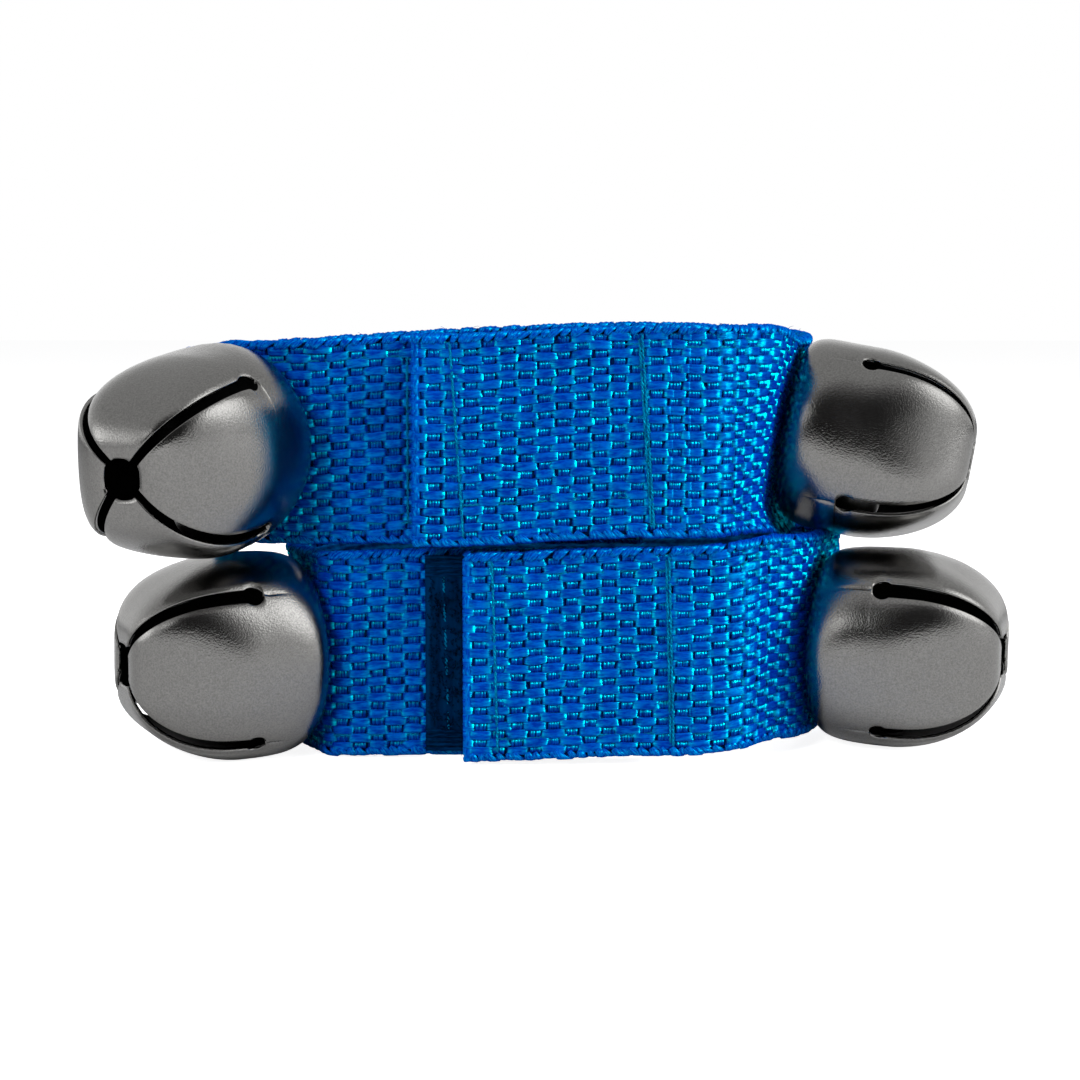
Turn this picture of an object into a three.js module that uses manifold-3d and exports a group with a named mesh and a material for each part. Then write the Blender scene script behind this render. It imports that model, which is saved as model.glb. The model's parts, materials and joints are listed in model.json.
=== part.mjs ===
// A pair of wrist bells: two webbing bands, each closed by a hook-and-loop flap and carrying two
// riveted jingle bells, standing one on top of the other. Millimetres, +Z up, the flaps face -Y.
import * as THREE from "three";
import { mergeVertices } from "three/addons/utils/BufferGeometryUtils.js";
import Module from "manifold-3d";

const wasm = await Module();
wasm.setup();

// Webbing, and what is sewn to it
const WEBBING_WIDTH = 25.4;
const WEBBING_THICK = 1.6;
const LINING_WIDTH = 22.5;
const LINING_THICK = 1;
const TAPE_WIDTH = 24;
const LOOP_TAPE_LENGTH = 24;
const LOOP_TAPE_THICK = 1.3;
const LOOP_TAPE_INSET = 0.6; // from the underlap's cut end
const HOOK_TAPE_THICK = 1.1;
const HOOK_END_INSET = 2.4; // from the flap's free edge
const HOOK_ROOT_INSET = 0.5; // from the line the flap peels back on
const LINING_START_GAP = 1.5; // past the loop tape
const LINING_END_INSET = 0.8; // short of the line the flap peels back on
const THREAD_THICK = 0.5;
const SEAM_INSET = 1.2; // from the edge of the piece that is sewn on
const LAYER_GAP = 0.25; // between sewn layers
const HINGE_GAP = 0.3; // between the band's webbing and its flap

// Bell: a stamped cup with four petals, its axis on local +Z and its base at z = 0
const BELL_RADIUS = 12.5;
const BELL_LENGTH = 22.9;
const BELL_WIDEST = 9.2; // distance of the widest ring from the base
const BELL_SHEET = 0.8;
const BASE_FLAT_RADIUS = 5;
const BASE_CURVE = 2.4; // superellipse power of the base's rounding
const TIP_FLAT_RADIUS = 3.5;
const PETAL_SQUARENESS = 0.8; // added to the power of the round section towards the tip
const SLOT_WIDTH = 1.9;
const SLOT_END = 9.3; // distance of the slots' round ends from the base
const SLOT_END_RADIUS = 1.3;
const TIP_HOLE_RADIUS = 2.6;
const PELLET_RADIUS = 4;
const PELLET_CLEARANCE = 0.15;
const RIVET_RADIUS = 1.6;
const RIVET_HEAD_RADIUS = 3.6;
const RIVET_HEAD_THICK = 0.9;
const RIVET_TAIL_RADIUS = 2.8;
const RIVET_TAIL_THICK = 0.6;
const RIVET_CROWN = 0.7; // share of a head's radius that stays flat
const WASHER_RADIUS = 4;
const WASHER_THICK = 0.6;
const HOLE_CLEARANCE = 0.25;
const RUNNING_GAP = 0.3; // between the bell's base and what it turns against
const FLOOR_CLEARANCE = 0.1; // of a bell above its webbing's lower edge
const SEAT_MARGIN = 0.6; // flat webbing left round a washer

// Bands: straight walls joined by round corners, in plan. A wall faces an angle from +X and lies at
// its reach from the band's middle; the corner after it has the turn radius. The webbing runs from
// the underlap, clockwise seen from above, to the flap that closes over the underlap. A bell sits on
// the straight part of its wall, as near to the corner as its washer lies flat plus a shift.
const STACK_GAP = 0.3;
const UNDERLAP_REACH = 17.6;
const UNDERLAP_END_X = 12;
const FLAP_REACH = UNDERLAP_REACH + WEBBING_THICK + LOOP_TAPE_THICK + HOOK_TAPE_THICK + 3 * LAYER_GAP;
const STACK_STEP = Math.max(WEBBING_WIDTH, 2 * BELL_RADIUS) + STACK_GAP;
const LEAN_FLAT = 6; // webbing on each side of a bell that leans as much as the bell
const LEAN_REACH = 26; // where the webbing stands upright again, if the closure doesn't start before
const BANDS = {
  lower: {
    floor: 0,
    hingeX: 16.2,
    flapEndX: -9.2,
    walls: {
      underlap: { facing: 270, reach: UNDERLAP_REACH, turnRadius: 4 },
      left: { facing: 205, reach: 30.6, turnRadius: 8 },
      back_left: { facing: 160, reach: 29, turnRadius: 16 },
      back: { facing: 90, reach: 20, turnRadius: 12 },
      right: { facing: -18.5, reach: 34.2, turnRadius: 14 },
      flap: { facing: -90, reach: FLAP_REACH },
    },
    bells: {
      left: { pastCorner: true, shift: 0, droop: 1.5, roll: -4.3 },
      right: { pastCorner: false, shift: 3.4, droop: 1.5, roll: 4.2 },
    },
  },
  upper: {
    floor: STACK_STEP,
    hingeX: 14,
    flapEndX: -15.2,
    walls: {
      underlap: { facing: 270, reach: UNDERLAP_REACH, turnRadius: 14 },
      left: { facing: 241, reach: 29.4, turnRadius: 5 },
      back_left: { facing: 165, reach: 39.7, turnRadius: 12 },
      back: { facing: 90, reach: 20, turnRadius: 9 },
      right: { facing: -12.7, reach: 29.8, turnRadius: 10 },
      flap: { facing: -90, reach: FLAP_REACH },
    },
    bells: {
      left: { pastCorner: true, shift: 0, droop: 9.5, roll: -2.4 },
      right: { pastCorner: false, shift: 10, droop: 9.5, roll: -8.4 },
    },
  },
};

// Facets
const ARC_STEP = 18; // degrees of a corner
const STRAIGHT_STEP = 4;
const CLOTH_COLUMNS = 3; // across the webbing
const ROUND_SIDES = 24;
const SMALL_SIDES = 14;
const PROFILE_STEPS = 5; // along each half of a bell's side
const PAST = 5; // how far a cutting tool reaches past what it cuts

const radians = THREE.MathUtils.degToRad;

// One closed skin: shared corners merged, collapsed triangles dropped, faces turned outwards.
function closeSkin(geometry) {
  const bare = geometry.clone();
  bare.deleteAttribute("normal");
  bare.deleteAttribute("uv");
  const skin = mergeVertices(bare);
  const corners = skin.index.array;
  const spots = [0, 1, 2].map(() => new THREE.Vector3());
  const kept = [];
  let volume = 0;
  for (let i = 0; i < corners.length; i += 3) {
    const [a, b, c] = corners.slice(i, i + 3);
    if (a === b || b === c || c === a) {
      continue;
    }
    kept.push(a, b, c);
    [a, b, c].forEach((corner, k) => spots[k].fromBufferAttribute(skin.attributes.position, corner));
    volume += spots[0].dot(spots[1].cross(spots[2]));
  }
  skin.setIndex(volume < 0 ? kept.reverse() : kept);
  return skin;
}

function toSolid(geometry) {
  const skin = closeSkin(geometry);
  const vertProperties = new Float32Array(skin.attributes.position.array);
  const triVerts = new Uint32Array(skin.index.array);
  return new wasm.Manifold(new wasm.Mesh({ numProp: 3, vertProperties, triVerts }));
}

function fromSolid(solid) {
  const mesh = solid.getMesh();
  const geometry = new THREE.BufferGeometry();
  geometry.setAttribute("position", new THREE.BufferAttribute(new Float32Array(mesh.vertProperties), 3));
  geometry.setIndex(Array.from(mesh.triVerts));
  return geometry;
}

function addPiece(parent, name, geometry, finish) {
  const piece = new THREE.Mesh(geometry, new THREE.MeshStandardMaterial(finish));
  piece.name = name;
  piece.geometry.computeVertexNormals();
  parent.add(piece);
  return piece;
}

const FINISHES = {
  webbing: { color: 0x0a62b4, roughness: 0.5, metalness: 0 },
  lining: { color: 0x084a8c, roughness: 0.7, metalness: 0 },
  loopTape: { color: 0x06305e, roughness: 0.95, metalness: 0 },
  hookTape: { color: 0x0a3f78, roughness: 0.6, metalness: 0 },
  thread: { color: 0x0a6c9c, roughness: 0.6, metalness: 0 },
  nickel: { color: 0x8c8a86, roughness: 0.32, metalness: 1 },
  steel: { color: 0xa0a0a0, roughness: 0.25, metalness: 1 },
};

// Turned solid: radius and height pairs spun round +Z.
function turned(profile, sides) {
  const points = profile.map(([radius, height]) => new THREE.Vector2(radius, height));
  return new THREE.LatheGeometry(points, sides).rotateX(Math.PI / 2);
}

function disc(radius, low, high, hole = 0) {
  const ring = [[hole, low], [radius, low], [radius, high], [hole, high]];
  return turned(hole ? [...ring, ring[0]] : ring, SMALL_SIDES);
}

// Half section of the bell, set in by a wall: flat base, rounded side up to the widest ring, then an
// elliptical taper to the flat tip.
function bellSection(setIn) {
  const section = [[0, setIn]];
  for (let k = 0; k <= PROFILE_STEPS; k += 1) {
    const angle = (Math.PI / 2) * (1 - k / PROFILE_STEPS);
    const side = Math.max(Math.cos(angle), 0) ** (2 / BASE_CURVE);
    const depth = Math.sin(angle) ** (2 / BASE_CURVE);
    section.push([
      BASE_FLAT_RADIUS + (BELL_RADIUS - setIn - BASE_FLAT_RADIUS) * side,
      BELL_WIDEST - (BELL_WIDEST - setIn) * depth,
    ]);
  }
  for (let k = 1; k <= PROFILE_STEPS; k += 1) {
    const angle = (Math.PI / 2) * (k / PROFILE_STEPS);
    section.push([
      TIP_FLAT_RADIUS + (BELL_RADIUS - setIn - TIP_FLAT_RADIUS) * Math.cos(angle),
      BELL_WIDEST + (BELL_LENGTH - setIn - BELL_WIDEST) * Math.sin(angle),
    ]);
  }
  section.push([0, BELL_LENGTH - setIn]);
  return section;
}

// Flatten the four petals: the round section becomes a superellipse towards the tip, its faces on X
// and Y and its corners where the slots run, with the mean of face and corner radius kept.
function squareOff(geometry) {
  const spots = geometry.attributes.position;
  for (let i = 0; i < spots.count; i += 1) {
    const angle = Math.atan2(spots.getY(i), spots.getX(i));
    const towardsTip = THREE.MathUtils.smoothstep(spots.getZ(i), BELL_WIDEST, BELL_LENGTH);
    const power = 2 + PETAL_SQUARENESS * towardsTip;
    const reach = (Math.abs(Math.cos(angle)) ** power + Math.abs(Math.sin(angle)) ** power) ** (-1 / power);
    const stretch = reach * 2 ** (-(1 / 2 - 1 / power) / 2);
    spots.setX(i, spots.getX(i) * stretch);
    spots.setY(i, spots.getY(i) * stretch);
  }
  return geometry;
}

function bellShell() {
  const outside = toSolid(squareOff(turned(bellSection(0), ROUND_SIDES)));
  const inside = toSolid(squareOff(turned(bellSection(BELL_SHEET), ROUND_SIDES)));
  let shell = outside.subtract(inside);
  shell = shell.subtract(toSolid(disc(TIP_HOLE_RADIUS, BELL_LENGTH - PAST, BELL_LENGTH + PAST)));
  shell = shell.subtract(toSolid(disc(RIVET_RADIUS + HOLE_CLEARANCE, -PAST, BELL_SHEET + PAST / 2)));
  const reach = 2 * BELL_RADIUS + 2 * PAST;
  const slotHeight = BELL_LENGTH + PAST - SLOT_END;
  for (const turn of [45, 135]) {
    const slot = new THREE.BoxGeometry(SLOT_WIDTH, reach, slotHeight);
    slot.translate(0, 0, SLOT_END + slotHeight / 2);
    const end = new THREE.CylinderGeometry(SLOT_END_RADIUS, SLOT_END_RADIUS, reach, SMALL_SIDES);
    end.translate(0, 0, SLOT_END);
    shell = shell.subtract(toSolid(slot.rotateZ(radians(turn))));
    shell = shell.subtract(toSolid(end.rotateZ(radians(turn))));
  }
  return fromSolid(shell);
}

// Depths below the bell's base of the layers that its rivet clamps.
const WEBBING_INSIDE = -RUNNING_GAP - WEBBING_THICK;
const LINING_INSIDE = WEBBING_INSIDE - LAYER_GAP - LINING_THICK;
const WASHER_TOP = LINING_INSIDE - LAYER_GAP;
const TAIL_TOP = WASHER_TOP - WASHER_THICK - LAYER_GAP;

function rivet() {
  const headLow = BELL_SHEET + RUNNING_GAP;
  const headHigh = headLow + RIVET_HEAD_THICK;
  const tailLow = TAIL_TOP - RIVET_TAIL_THICK;
  return turned([
    [0, tailLow],
    [RIVET_TAIL_RADIUS * RIVET_CROWN, tailLow],
    [RIVET_TAIL_RADIUS, TAIL_TOP],
    [RIVET_RADIUS, TAIL_TOP],
    [RIVET_RADIUS, headLow],
    [RIVET_HEAD_RADIUS, headLow],
    [RIVET_HEAD_RADIUS * RIVET_CROWN, headHigh],
    [0, headHigh],
  ], SMALL_SIDES);
}

function washer() {
  return disc(WASHER_RADIUS, WASHER_TOP - WASHER_THICK, WASHER_TOP, RIVET_RADIUS + HOLE_CLEARANCE);
}

function rivetHole() {
  return disc(RIVET_RADIUS + HOLE_CLEARANCE, TAIL_TOP - PAST, PAST);
}

// The line in plan that a band's webbing follows, with the stations where its corners start and end.
function layWebbing(band) {
  const walls = Object.values(band.walls);
  const names = Object.keys(band.walls);
  const line = new THREE.CurvePath();
  let straightFrom = new THREE.Vector2(UNDERLAP_END_X, -UNDERLAP_REACH);
  const middle = new THREE.Vector2();
  const facingOf = (wall) => new THREE.Vector2(1, 0).rotateAround(middle, radians(wall.facing));
  walls.slice(0, -1).forEach((wall, k) => {
    const next = walls[k + 1];
    const facing = facingOf(wall);
    const nextFacing = facingOf(next);
    const cross = facing.cross(nextFacing);
    const corner = new THREE.Vector2(
      (wall.reach * nextFacing.y - next.reach * facing.y) / cross,
      (next.reach * facing.x - wall.reach * nextFacing.x) / cross,
    );
    const turn = radians(wall.facing - next.facing);
    const toCentre = wall.turnRadius / Math.cos(turn / 2);
    const bisector = facing.clone().add(nextFacing).normalize();
    const centre = corner.addScaledVector(bisector, -toCentre);
    const sweep = [radians(wall.facing), radians(next.facing)];
    const radii = [wall.turnRadius, wall.turnRadius];
    const bend = new THREE.EllipseCurve(centre.x, centre.y, ...radii, ...sweep, true);
    line.add(new THREE.LineCurve(straightFrom, bend.getPoint(0)));
    line.add(bend);
    straightFrom = bend.getPoint(1);
  });
  line.add(new THREE.LineCurve(straightFrom, new THREE.Vector2(band.flapEndX, -FLAP_REACH)));

  const ends = line.getCurveLengths();
  const stations = [0];
  line.curves.forEach((curve, k) => {
    const from = stations.at(-1);
    const sweep = curve.isEllipseCurve ? THREE.MathUtils.radToDeg(curve.aStartAngle - curve.aEndAngle) : 0;
    const steps = Math.ceil(sweep ? sweep / ARC_STEP : (ends[k] - from) / STRAIGHT_STEP);
    for (let step = 1; step <= steps; step += 1) {
      stations.push(from + ((ends[k] - from) * step) / steps);
    }
  });
  const length = ends.at(-1);
  const hinge = length - (band.hingeX - band.flapEndX);
  const loopTape = [LOOP_TAPE_INSET, LOOP_TAPE_INSET + LOOP_TAPE_LENGTH];
  const lining = [loopTape[1] + LINING_START_GAP, hinge - LINING_END_INSET];
  const seat = WASHER_RADIUS + SEAT_MARGIN;
  const bells = Object.entries(band.bells).map(([side, bell]) => {
    const straight = 2 * names.indexOf(side);
    const fromCorner = seat + bell.shift;
    const station = bell.pastCorner ? ends[straight - 1] + fromCorner : ends[straight] - fromCorner;
    const leanReach = Math.min(LEAN_REACH, station - lining[0], lining[1] - station);
    return { ...bell, side, station, leanReach };
  });
  return { line, length, hinge, loopTape, lining, stations, bells };
}

// A point on a band: a distance along the webbing, out from its middle layer and up from mid-width.
function placer({ line, length, bells }) {
  return (along, out, up) => {
    const share = Math.min(along / length, 1);
    const spot = line.getPoint(share);
    const heading = line.getTangent(share);
    const lean = bells.reduce((sum, bell) => {
      const away = Math.abs(along - bell.station);
      return sum + radians(bell.droop) * (1 - THREE.MathUtils.smoothstep(away, LEAN_FLAT, bell.leanReach));
    }, 0);
    const reach = out * Math.cos(lean) + up * Math.sin(lean);
    const height = WEBBING_WIDTH / 2 + up * Math.cos(lean) - out * Math.sin(lean);
    return new THREE.Vector3(spot.x - heading.y * reach, spot.y + heading.x * reach, height);
  };
}

// Cloth laid on a band: a grid of cells between stations along it and heights on it, with an inner and
// an outer face. Cells that aren't kept stay open, and every edge of the cloth is closed.
function cloth(place, rows, [inner, outer], heights, kept = () => true) {
  const inGrid = (row, column) => row in rows.slice(1) && column in heights.slice(1);
  const filled = (row, column) => inGrid(row, column) && kept(row, column);
  const spots = [];
  const addFace = (corners, outs) => {
    const [a, b, c, d] = corners.map(([row, column], k) => place(rows[row], outs[k], heights[column]));
    spots.push(a, b, c, a, c, d);
  };
  for (let row = 0; row < rows.length - 1; row += 1) {
    for (let column = 0; column < heights.length - 1; column += 1) {
      if (!filled(row, column)) {
        continue;
      }
      const corners = [[row, column], [row, column + 1], [row + 1, column + 1], [row + 1, column]];
      const beyond = [[row - 1, column], [row, column + 1], [row + 1, column], [row, column - 1]];
      addFace(corners, [outer, outer, outer, outer]);
      addFace(corners.toReversed(), [inner, inner, inner, inner]);
      corners.forEach((corner, k) => {
        const next = corners[(k + 1) % corners.length];
        if (!filled(...beyond[k])) {
          addFace([next, corner, corner, next], [outer, outer, inner, inner]);
        }
      });
    }
  }
  return closeSkin(new THREE.BufferGeometry().setFromPoints(spots));
}

// A plain strip: from and to along a band, in and out of it, and its width. The columns split the
// width, so that a strip that leans more here than there keeps its thickness.
function strip(place, stations, [from, to], depth, width) {
  const rows = [from, ...stations.filter((station) => station > from && station < to), to];
  const heightOf = (_, column) => width * (column / CLOTH_COLUMNS - 1 / 2);
  return cloth(place, rows, depth, Array.from({ length: CLOTH_COLUMNS + 1 }, heightOf));
}

// A thread sewn round a box: two long runs joined by one short run at each end.
function boxSeam(place, stations, [from, to], inner, halfHeight) {
  const ends = [from + THREAD_THICK, to - THREAD_THICK];
  const between = stations.filter((station) => station > ends[0] && station < ends[1]);
  const rows = [from, ends[0], ...between, ends[1], to];
  const heights = [-halfHeight, THREAD_THICK - halfHeight, halfHeight - THREAD_THICK, halfHeight];
  const onSeam = (row, column) => row === 0 || row === rows.length - 2 || column !== 1;
  return cloth(place, rows, [inner, inner + THREAD_THICK], heights, onSeam);
}

// Where a bell sits: local +Z out of the webbing, local +Y up it, the origin at the bell's base.
function bellSeat(place, bell) {
  const rise = BELL_WIDEST * Math.sin(radians(bell.droop));
  const up = BELL_RADIUS + FLOOR_CLEARANCE - WEBBING_WIDTH / 2 + rise;
  const base = place(bell.station, WEBBING_THICK / 2 + RUNNING_GAP, up);
  const outward = place(bell.station, WEBBING_THICK / 2 + RUNNING_GAP + 1, up).sub(base);
  const upward = place(bell.station, WEBBING_THICK / 2 + RUNNING_GAP, up + 1).sub(base);
  const sideways = upward.clone().cross(outward);
  return new THREE.Matrix4().makeBasis(sideways, upward, outward).setPosition(base);
}

function addBell(group, name, seat, roll) {
  const holder = new THREE.Group();
  holder.applyMatrix4(seat);
  group.add(holder);
  const shell = addPiece(holder, `${name}_bell_shell`, bellShell(), FINISHES.nickel);
  shell.rotation.z = radians(roll);
  const ball = new THREE.SphereGeometry(PELLET_RADIUS, SMALL_SIDES, SMALL_SIDES / 2);
  const pellet = addPiece(holder, `${name}_pellet`, closeSkin(ball), FINISHES.steel);
  const pelletDrop = BELL_RADIUS - BELL_SHEET - PELLET_RADIUS - PELLET_CLEARANCE;
  pellet.position.set(0, -pelletDrop, BELL_WIDEST);
  addPiece(holder, `${name}_rivet`, closeSkin(rivet()), FINISHES.nickel);
  addPiece(holder, `${name}_washer`, closeSkin(washer()), FINISHES.steel);
}

function addBand(parent, name, band) {
  const group = new THREE.Group();
  group.position.z = band.floor;
  parent.add(group);
  const { line, length, hinge, loopTape, lining, stations, bells } = layWebbing(band);
  const place = placer({ line, length, bells });
  const lay = (span, depth, width) => strip(place, stations, span, depth, width);
  const seats = bells.map((bell) => bellSeat(place, bell));
  const pierced = (geometry) => fromSolid(seats.reduce(
    (solid, seat) => solid.subtract(toSolid(rivetHole().applyMatrix4(seat))), toSolid(geometry)));

  const face = WEBBING_THICK / 2;
  const outside = face + LAYER_GAP;
  const loop = lay([0, hinge], [-face, face], WEBBING_WIDTH);
  addPiece(group, `${name}_webbing`, pierced(loop), FINISHES.webbing);
  const flap = [hinge + HINGE_GAP, length];
  addPiece(group, `${name}_flap_webbing`, lay(flap, [-face, face], WEBBING_WIDTH), FINISHES.webbing);

  addPiece(group, `${name}_loop_tape`, lay(loopTape, [outside, outside + LOOP_TAPE_THICK], TAPE_WIDTH),
    FINISHES.loopTape);
  const hookTape = [flap[0] + HOOK_ROOT_INSET, length - HOOK_END_INSET];
  addPiece(group, `${name}_hook_tape`, lay(hookTape, [-outside - HOOK_TAPE_THICK, -outside], TAPE_WIDTH),
    FINISHES.hookTape);
  const hookSeam = [hookTape[0] + SEAM_INSET, hookTape[1] - SEAM_INSET];
  addPiece(group, `${name}_flap_seam`,
    boxSeam(place, stations, hookSeam, outside, TAPE_WIDTH / 2 - SEAM_INSET), FINISHES.thread);

  addPiece(group, `${name}_lining`, pierced(lay(lining, [-outside - LINING_THICK, -outside], LINING_WIDTH)),
    FINISHES.lining);
  const liningSeam = [lining[0] + SEAM_INSET, lining[1] - SEAM_INSET];
  addPiece(group, `${name}_lining_seam`,
    boxSeam(place, stations, liningSeam, outside, LINING_WIDTH / 2 - SEAM_INSET), FINISHES.thread);

  bells.forEach((bell, k) => addBell(group, `${name}_${bell.side}`, seats[k], bell.roll));
}

const wristBells = new THREE.Group();
for (const [name, band] of Object.entries(BANDS)) {
  addBand(wristBells, name, band);
}

// The origin is on the ground below the middle of the pair.
wristBells.updateMatrixWorld(true);
const box = new THREE.Box3().setFromObject(wristBells, true);
const middle = box.getCenter(new THREE.Vector3());
wristBells.position.set(-middle.x, -middle.y, -box.min.z);

export default wristBells;
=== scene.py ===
# %% [markdown]
# # Wrist bells
# Two woven bands stand one on the other, each closed by a hook-and-loop flap and carrying two jingle
# bells. The solids already hold the sizes and the joints. This lesson dresses them: every yarn of the
# webbing, the stitches, the fuzzy tape and the stamped bells become meshes of their own. Shapes are
# worked out in millimetres with numpy, and one helper turns them into metres.

# %% Load the solids and remember their box
import json

import bpy
import numpy as np
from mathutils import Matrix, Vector


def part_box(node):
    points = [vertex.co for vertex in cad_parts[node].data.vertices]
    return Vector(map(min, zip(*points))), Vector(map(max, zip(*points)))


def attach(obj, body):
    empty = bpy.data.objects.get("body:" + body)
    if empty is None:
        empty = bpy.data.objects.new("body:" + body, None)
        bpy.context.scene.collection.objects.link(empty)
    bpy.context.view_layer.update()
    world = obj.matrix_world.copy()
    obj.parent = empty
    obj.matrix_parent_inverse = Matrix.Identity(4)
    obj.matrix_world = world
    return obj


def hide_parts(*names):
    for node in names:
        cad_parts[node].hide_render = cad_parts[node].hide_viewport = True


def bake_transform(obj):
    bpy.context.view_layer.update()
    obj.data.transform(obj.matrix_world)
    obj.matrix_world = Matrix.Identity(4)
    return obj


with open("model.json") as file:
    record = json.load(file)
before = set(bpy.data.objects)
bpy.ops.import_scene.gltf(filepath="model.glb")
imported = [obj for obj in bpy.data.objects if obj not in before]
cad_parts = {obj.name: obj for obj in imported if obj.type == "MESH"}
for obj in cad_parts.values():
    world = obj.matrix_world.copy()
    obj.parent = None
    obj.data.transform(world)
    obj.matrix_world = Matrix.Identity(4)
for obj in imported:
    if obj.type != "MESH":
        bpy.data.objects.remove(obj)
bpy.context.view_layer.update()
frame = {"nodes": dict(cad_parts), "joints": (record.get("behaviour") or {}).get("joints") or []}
joints = {joint["name"]: joint for joint in frame["joints"]}
MM = 0.001
BANDS = ("lower", "upper")
SIDES = ("left", "right")
draw = np.random.default_rng(2025)
print("solids:", len(frame["nodes"]), "joints:", len(joints))

# %% [markdown]
# ## Camera
# The camera was found by fitting the four bells and the two flap edges to the photograph: it stands
# about a third of a metre away, a little above the bands, and looks almost straight along +Y. A long
# lens is a narrow cone, so its angle comes from the focal length counted in pixels of the frame.

# %% Camera
FRAME_PIXELS = 1080
FOCAL_PIXELS = 2492
SENSOR = 36.0
NEAR_CLIP = 0.01
CAMERA_DISTANCE = 311.6
CAMERA_RISE = np.radians(6.03)
CAMERA_YAW = np.radians(-0.55)
LOOK_AT = np.array([-2.36, 0.0, 25.83])

looking = np.array([
    np.sin(CAMERA_YAW) * np.cos(CAMERA_RISE),
    np.cos(CAMERA_YAW) * np.cos(CAMERA_RISE),
    -np.sin(CAMERA_RISE),
])
camera = bpy.data.objects.new("camera", bpy.data.cameras.new("camera"))
camera.data.sensor_width = SENSOR
camera.data.lens = SENSOR * FOCAL_PIXELS / FRAME_PIXELS
camera.data.clip_start = NEAR_CLIP
camera.location = (LOOK_AT - CAMERA_DISTANCE * looking) * MM
camera.rotation_euler = Vector(looking).to_track_quat("-Z", "Y").to_euler()
bpy.context.scene.collection.objects.link(camera)
bpy.context.scene.camera = camera
bpy.context.scene.view_settings.view_transform = "Standard"
print("lens", round(camera.data.lens, 1), "mm")

# %% [markdown]
# ## Node helpers
# A material is a small graph. The first two helpers keep the graphs readable: one adds a node and sets
# its sockets, the other starts a material from the Principled shader with its plain numbers set. The
# rest are the few nodes that come back in every finish.


# %% Node helpers
def add_node(tree, kind, inputs=None, **settings):
    """One node of a kind, its settings as attributes, its inputs as values or links by socket."""
    node = tree.nodes.new(kind)
    for name, value in settings.items():
        setattr(node, name, value)
    for name, value in (inputs or {}).items():
        if isinstance(value, bpy.types.NodeSocket):
            tree.links.new(value, node.inputs[name])
        else:
            node.inputs[name].default_value = value
    return node


def new_material(name, **sockets):
    """A material, its tree and its Principled shader; socket names are written with underscores."""
    material = bpy.data.materials.new(name)
    material.use_nodes = True
    shader = material.node_tree.nodes["Principled BSDF"]
    for socket, value in sockets.items():
        shader.inputs[socket.replace("_", " ")].default_value = value
    return material, material.node_tree, shader


def ramp(tree, factor, stops):
    """A colour ramp: pairs of place and linear colour."""
    node = add_node(tree, "ShaderNodeValToRGB", {"Fac": factor})
    elements = node.color_ramp.elements
    while len(elements) < len(stops):
        elements.new(0.5)
    for element, (place, colour) in zip(elements, stops):
        element.position = place
        element.color = (*colour, 1.0)
    return node.outputs["Color"]


def noise(tree, vector, scale, detail=2.0, roughness=0.5, dimensions="3D"):
    """The grey level of a noise."""
    return add_node(tree, "ShaderNodeTexNoise", {
        "Vector": vector, "Scale": scale, "Detail": detail, "Roughness": roughness},
        noise_dimensions=dimensions).outputs["Fac"]


def map_range(tree, value, given, wanted, kind="LINEAR"):
    """A value carried from a given range, low and high, to the wanted one."""
    return add_node(tree, "ShaderNodeMapRange", {
        "Value": value, "From Min": given[0], "From Max": given[1], "To Min": wanted[0],
        "To Max": wanted[1]}, interpolation_type=kind).outputs[0]


def maths(tree, operation, first, second):
    """Two numbers taken together by an operation."""
    return add_node(tree, "ShaderNodeMath", {0: first, 1: second}, operation=operation).outputs[0]


def mixed(tree, share, first, second):
    """The first shader with a share of the second in its place."""
    return add_node(tree, "ShaderNodeMixShader", {0: share, 1: first, 2: second}).outputs[0]


def bump(tree, shader, height, strength, depth):
    """Relief from a height, its full depth in millimetres; gives the bent normal."""
    relief = {"Height": height, "Strength": strength, "Distance": depth * MM}
    normal = add_node(tree, "ShaderNodeBump", relief).outputs["Normal"]
    tree.links.new(normal, shader.inputs["Normal"])
    return normal


# %% [markdown]
# ## Studio
# The photograph is a product shot on white. A large pale floor runs under the bands and keeps their
# shadow. The bells are mirrors, and what they show tells where things stood in the studio: bright walls
# near the horizon, a dim ceiling, a dark side where the camera is, a soft lamp to the right, another low
# on the left and a small one at the front left. The world paints that room for gloss alone. The camera
# sees plain white, and cloth is lit by the lamps and by a low, even light. The lamps are linked to the
# cloth and the floor only, so that the bells don't mirror a lamp on top of its painted patch, and only
# the key shows in the gloss of the yarns.

# %% World
WHITE = (1.0, 1.0, 1.0, 1.0)
AMBIENT = (0.1, 0.1, 0.105, 1.0)
# How bright the room is by height: 0 is the horizon, 1 right overhead.
WALL_LEVELS = {0.0: 1.0, 0.3: 0.95, 0.6: 0.6, 0.85: 0.58}
# What is painted over the walls, in this order: the camera's dark side, then the lamps on the right, on
# the left and at the front left.
ROOM_PATCHES = [
    {"azimuth": -8, "rise": 12, "outer": 55, "inner": 20, "level": 0.04},
    {"azimuth": 72, "rise": 36, "outer": 32, "inner": 8, "level": 2.8},
    {"azimuth": -84, "rise": 8, "outer": 20, "inner": 6, "level": 2.4},
    {"azimuth": -46, "rise": 22, "outer": 13, "inner": 4, "level": 1.5},
]
world = bpy.data.worlds.new("studio")
world.use_nodes = True
bpy.context.scene.world = world
tree = world.node_tree
tree.nodes.clear()
direction = add_node(tree, "ShaderNodeTexCoord").outputs["Generated"]


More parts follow.
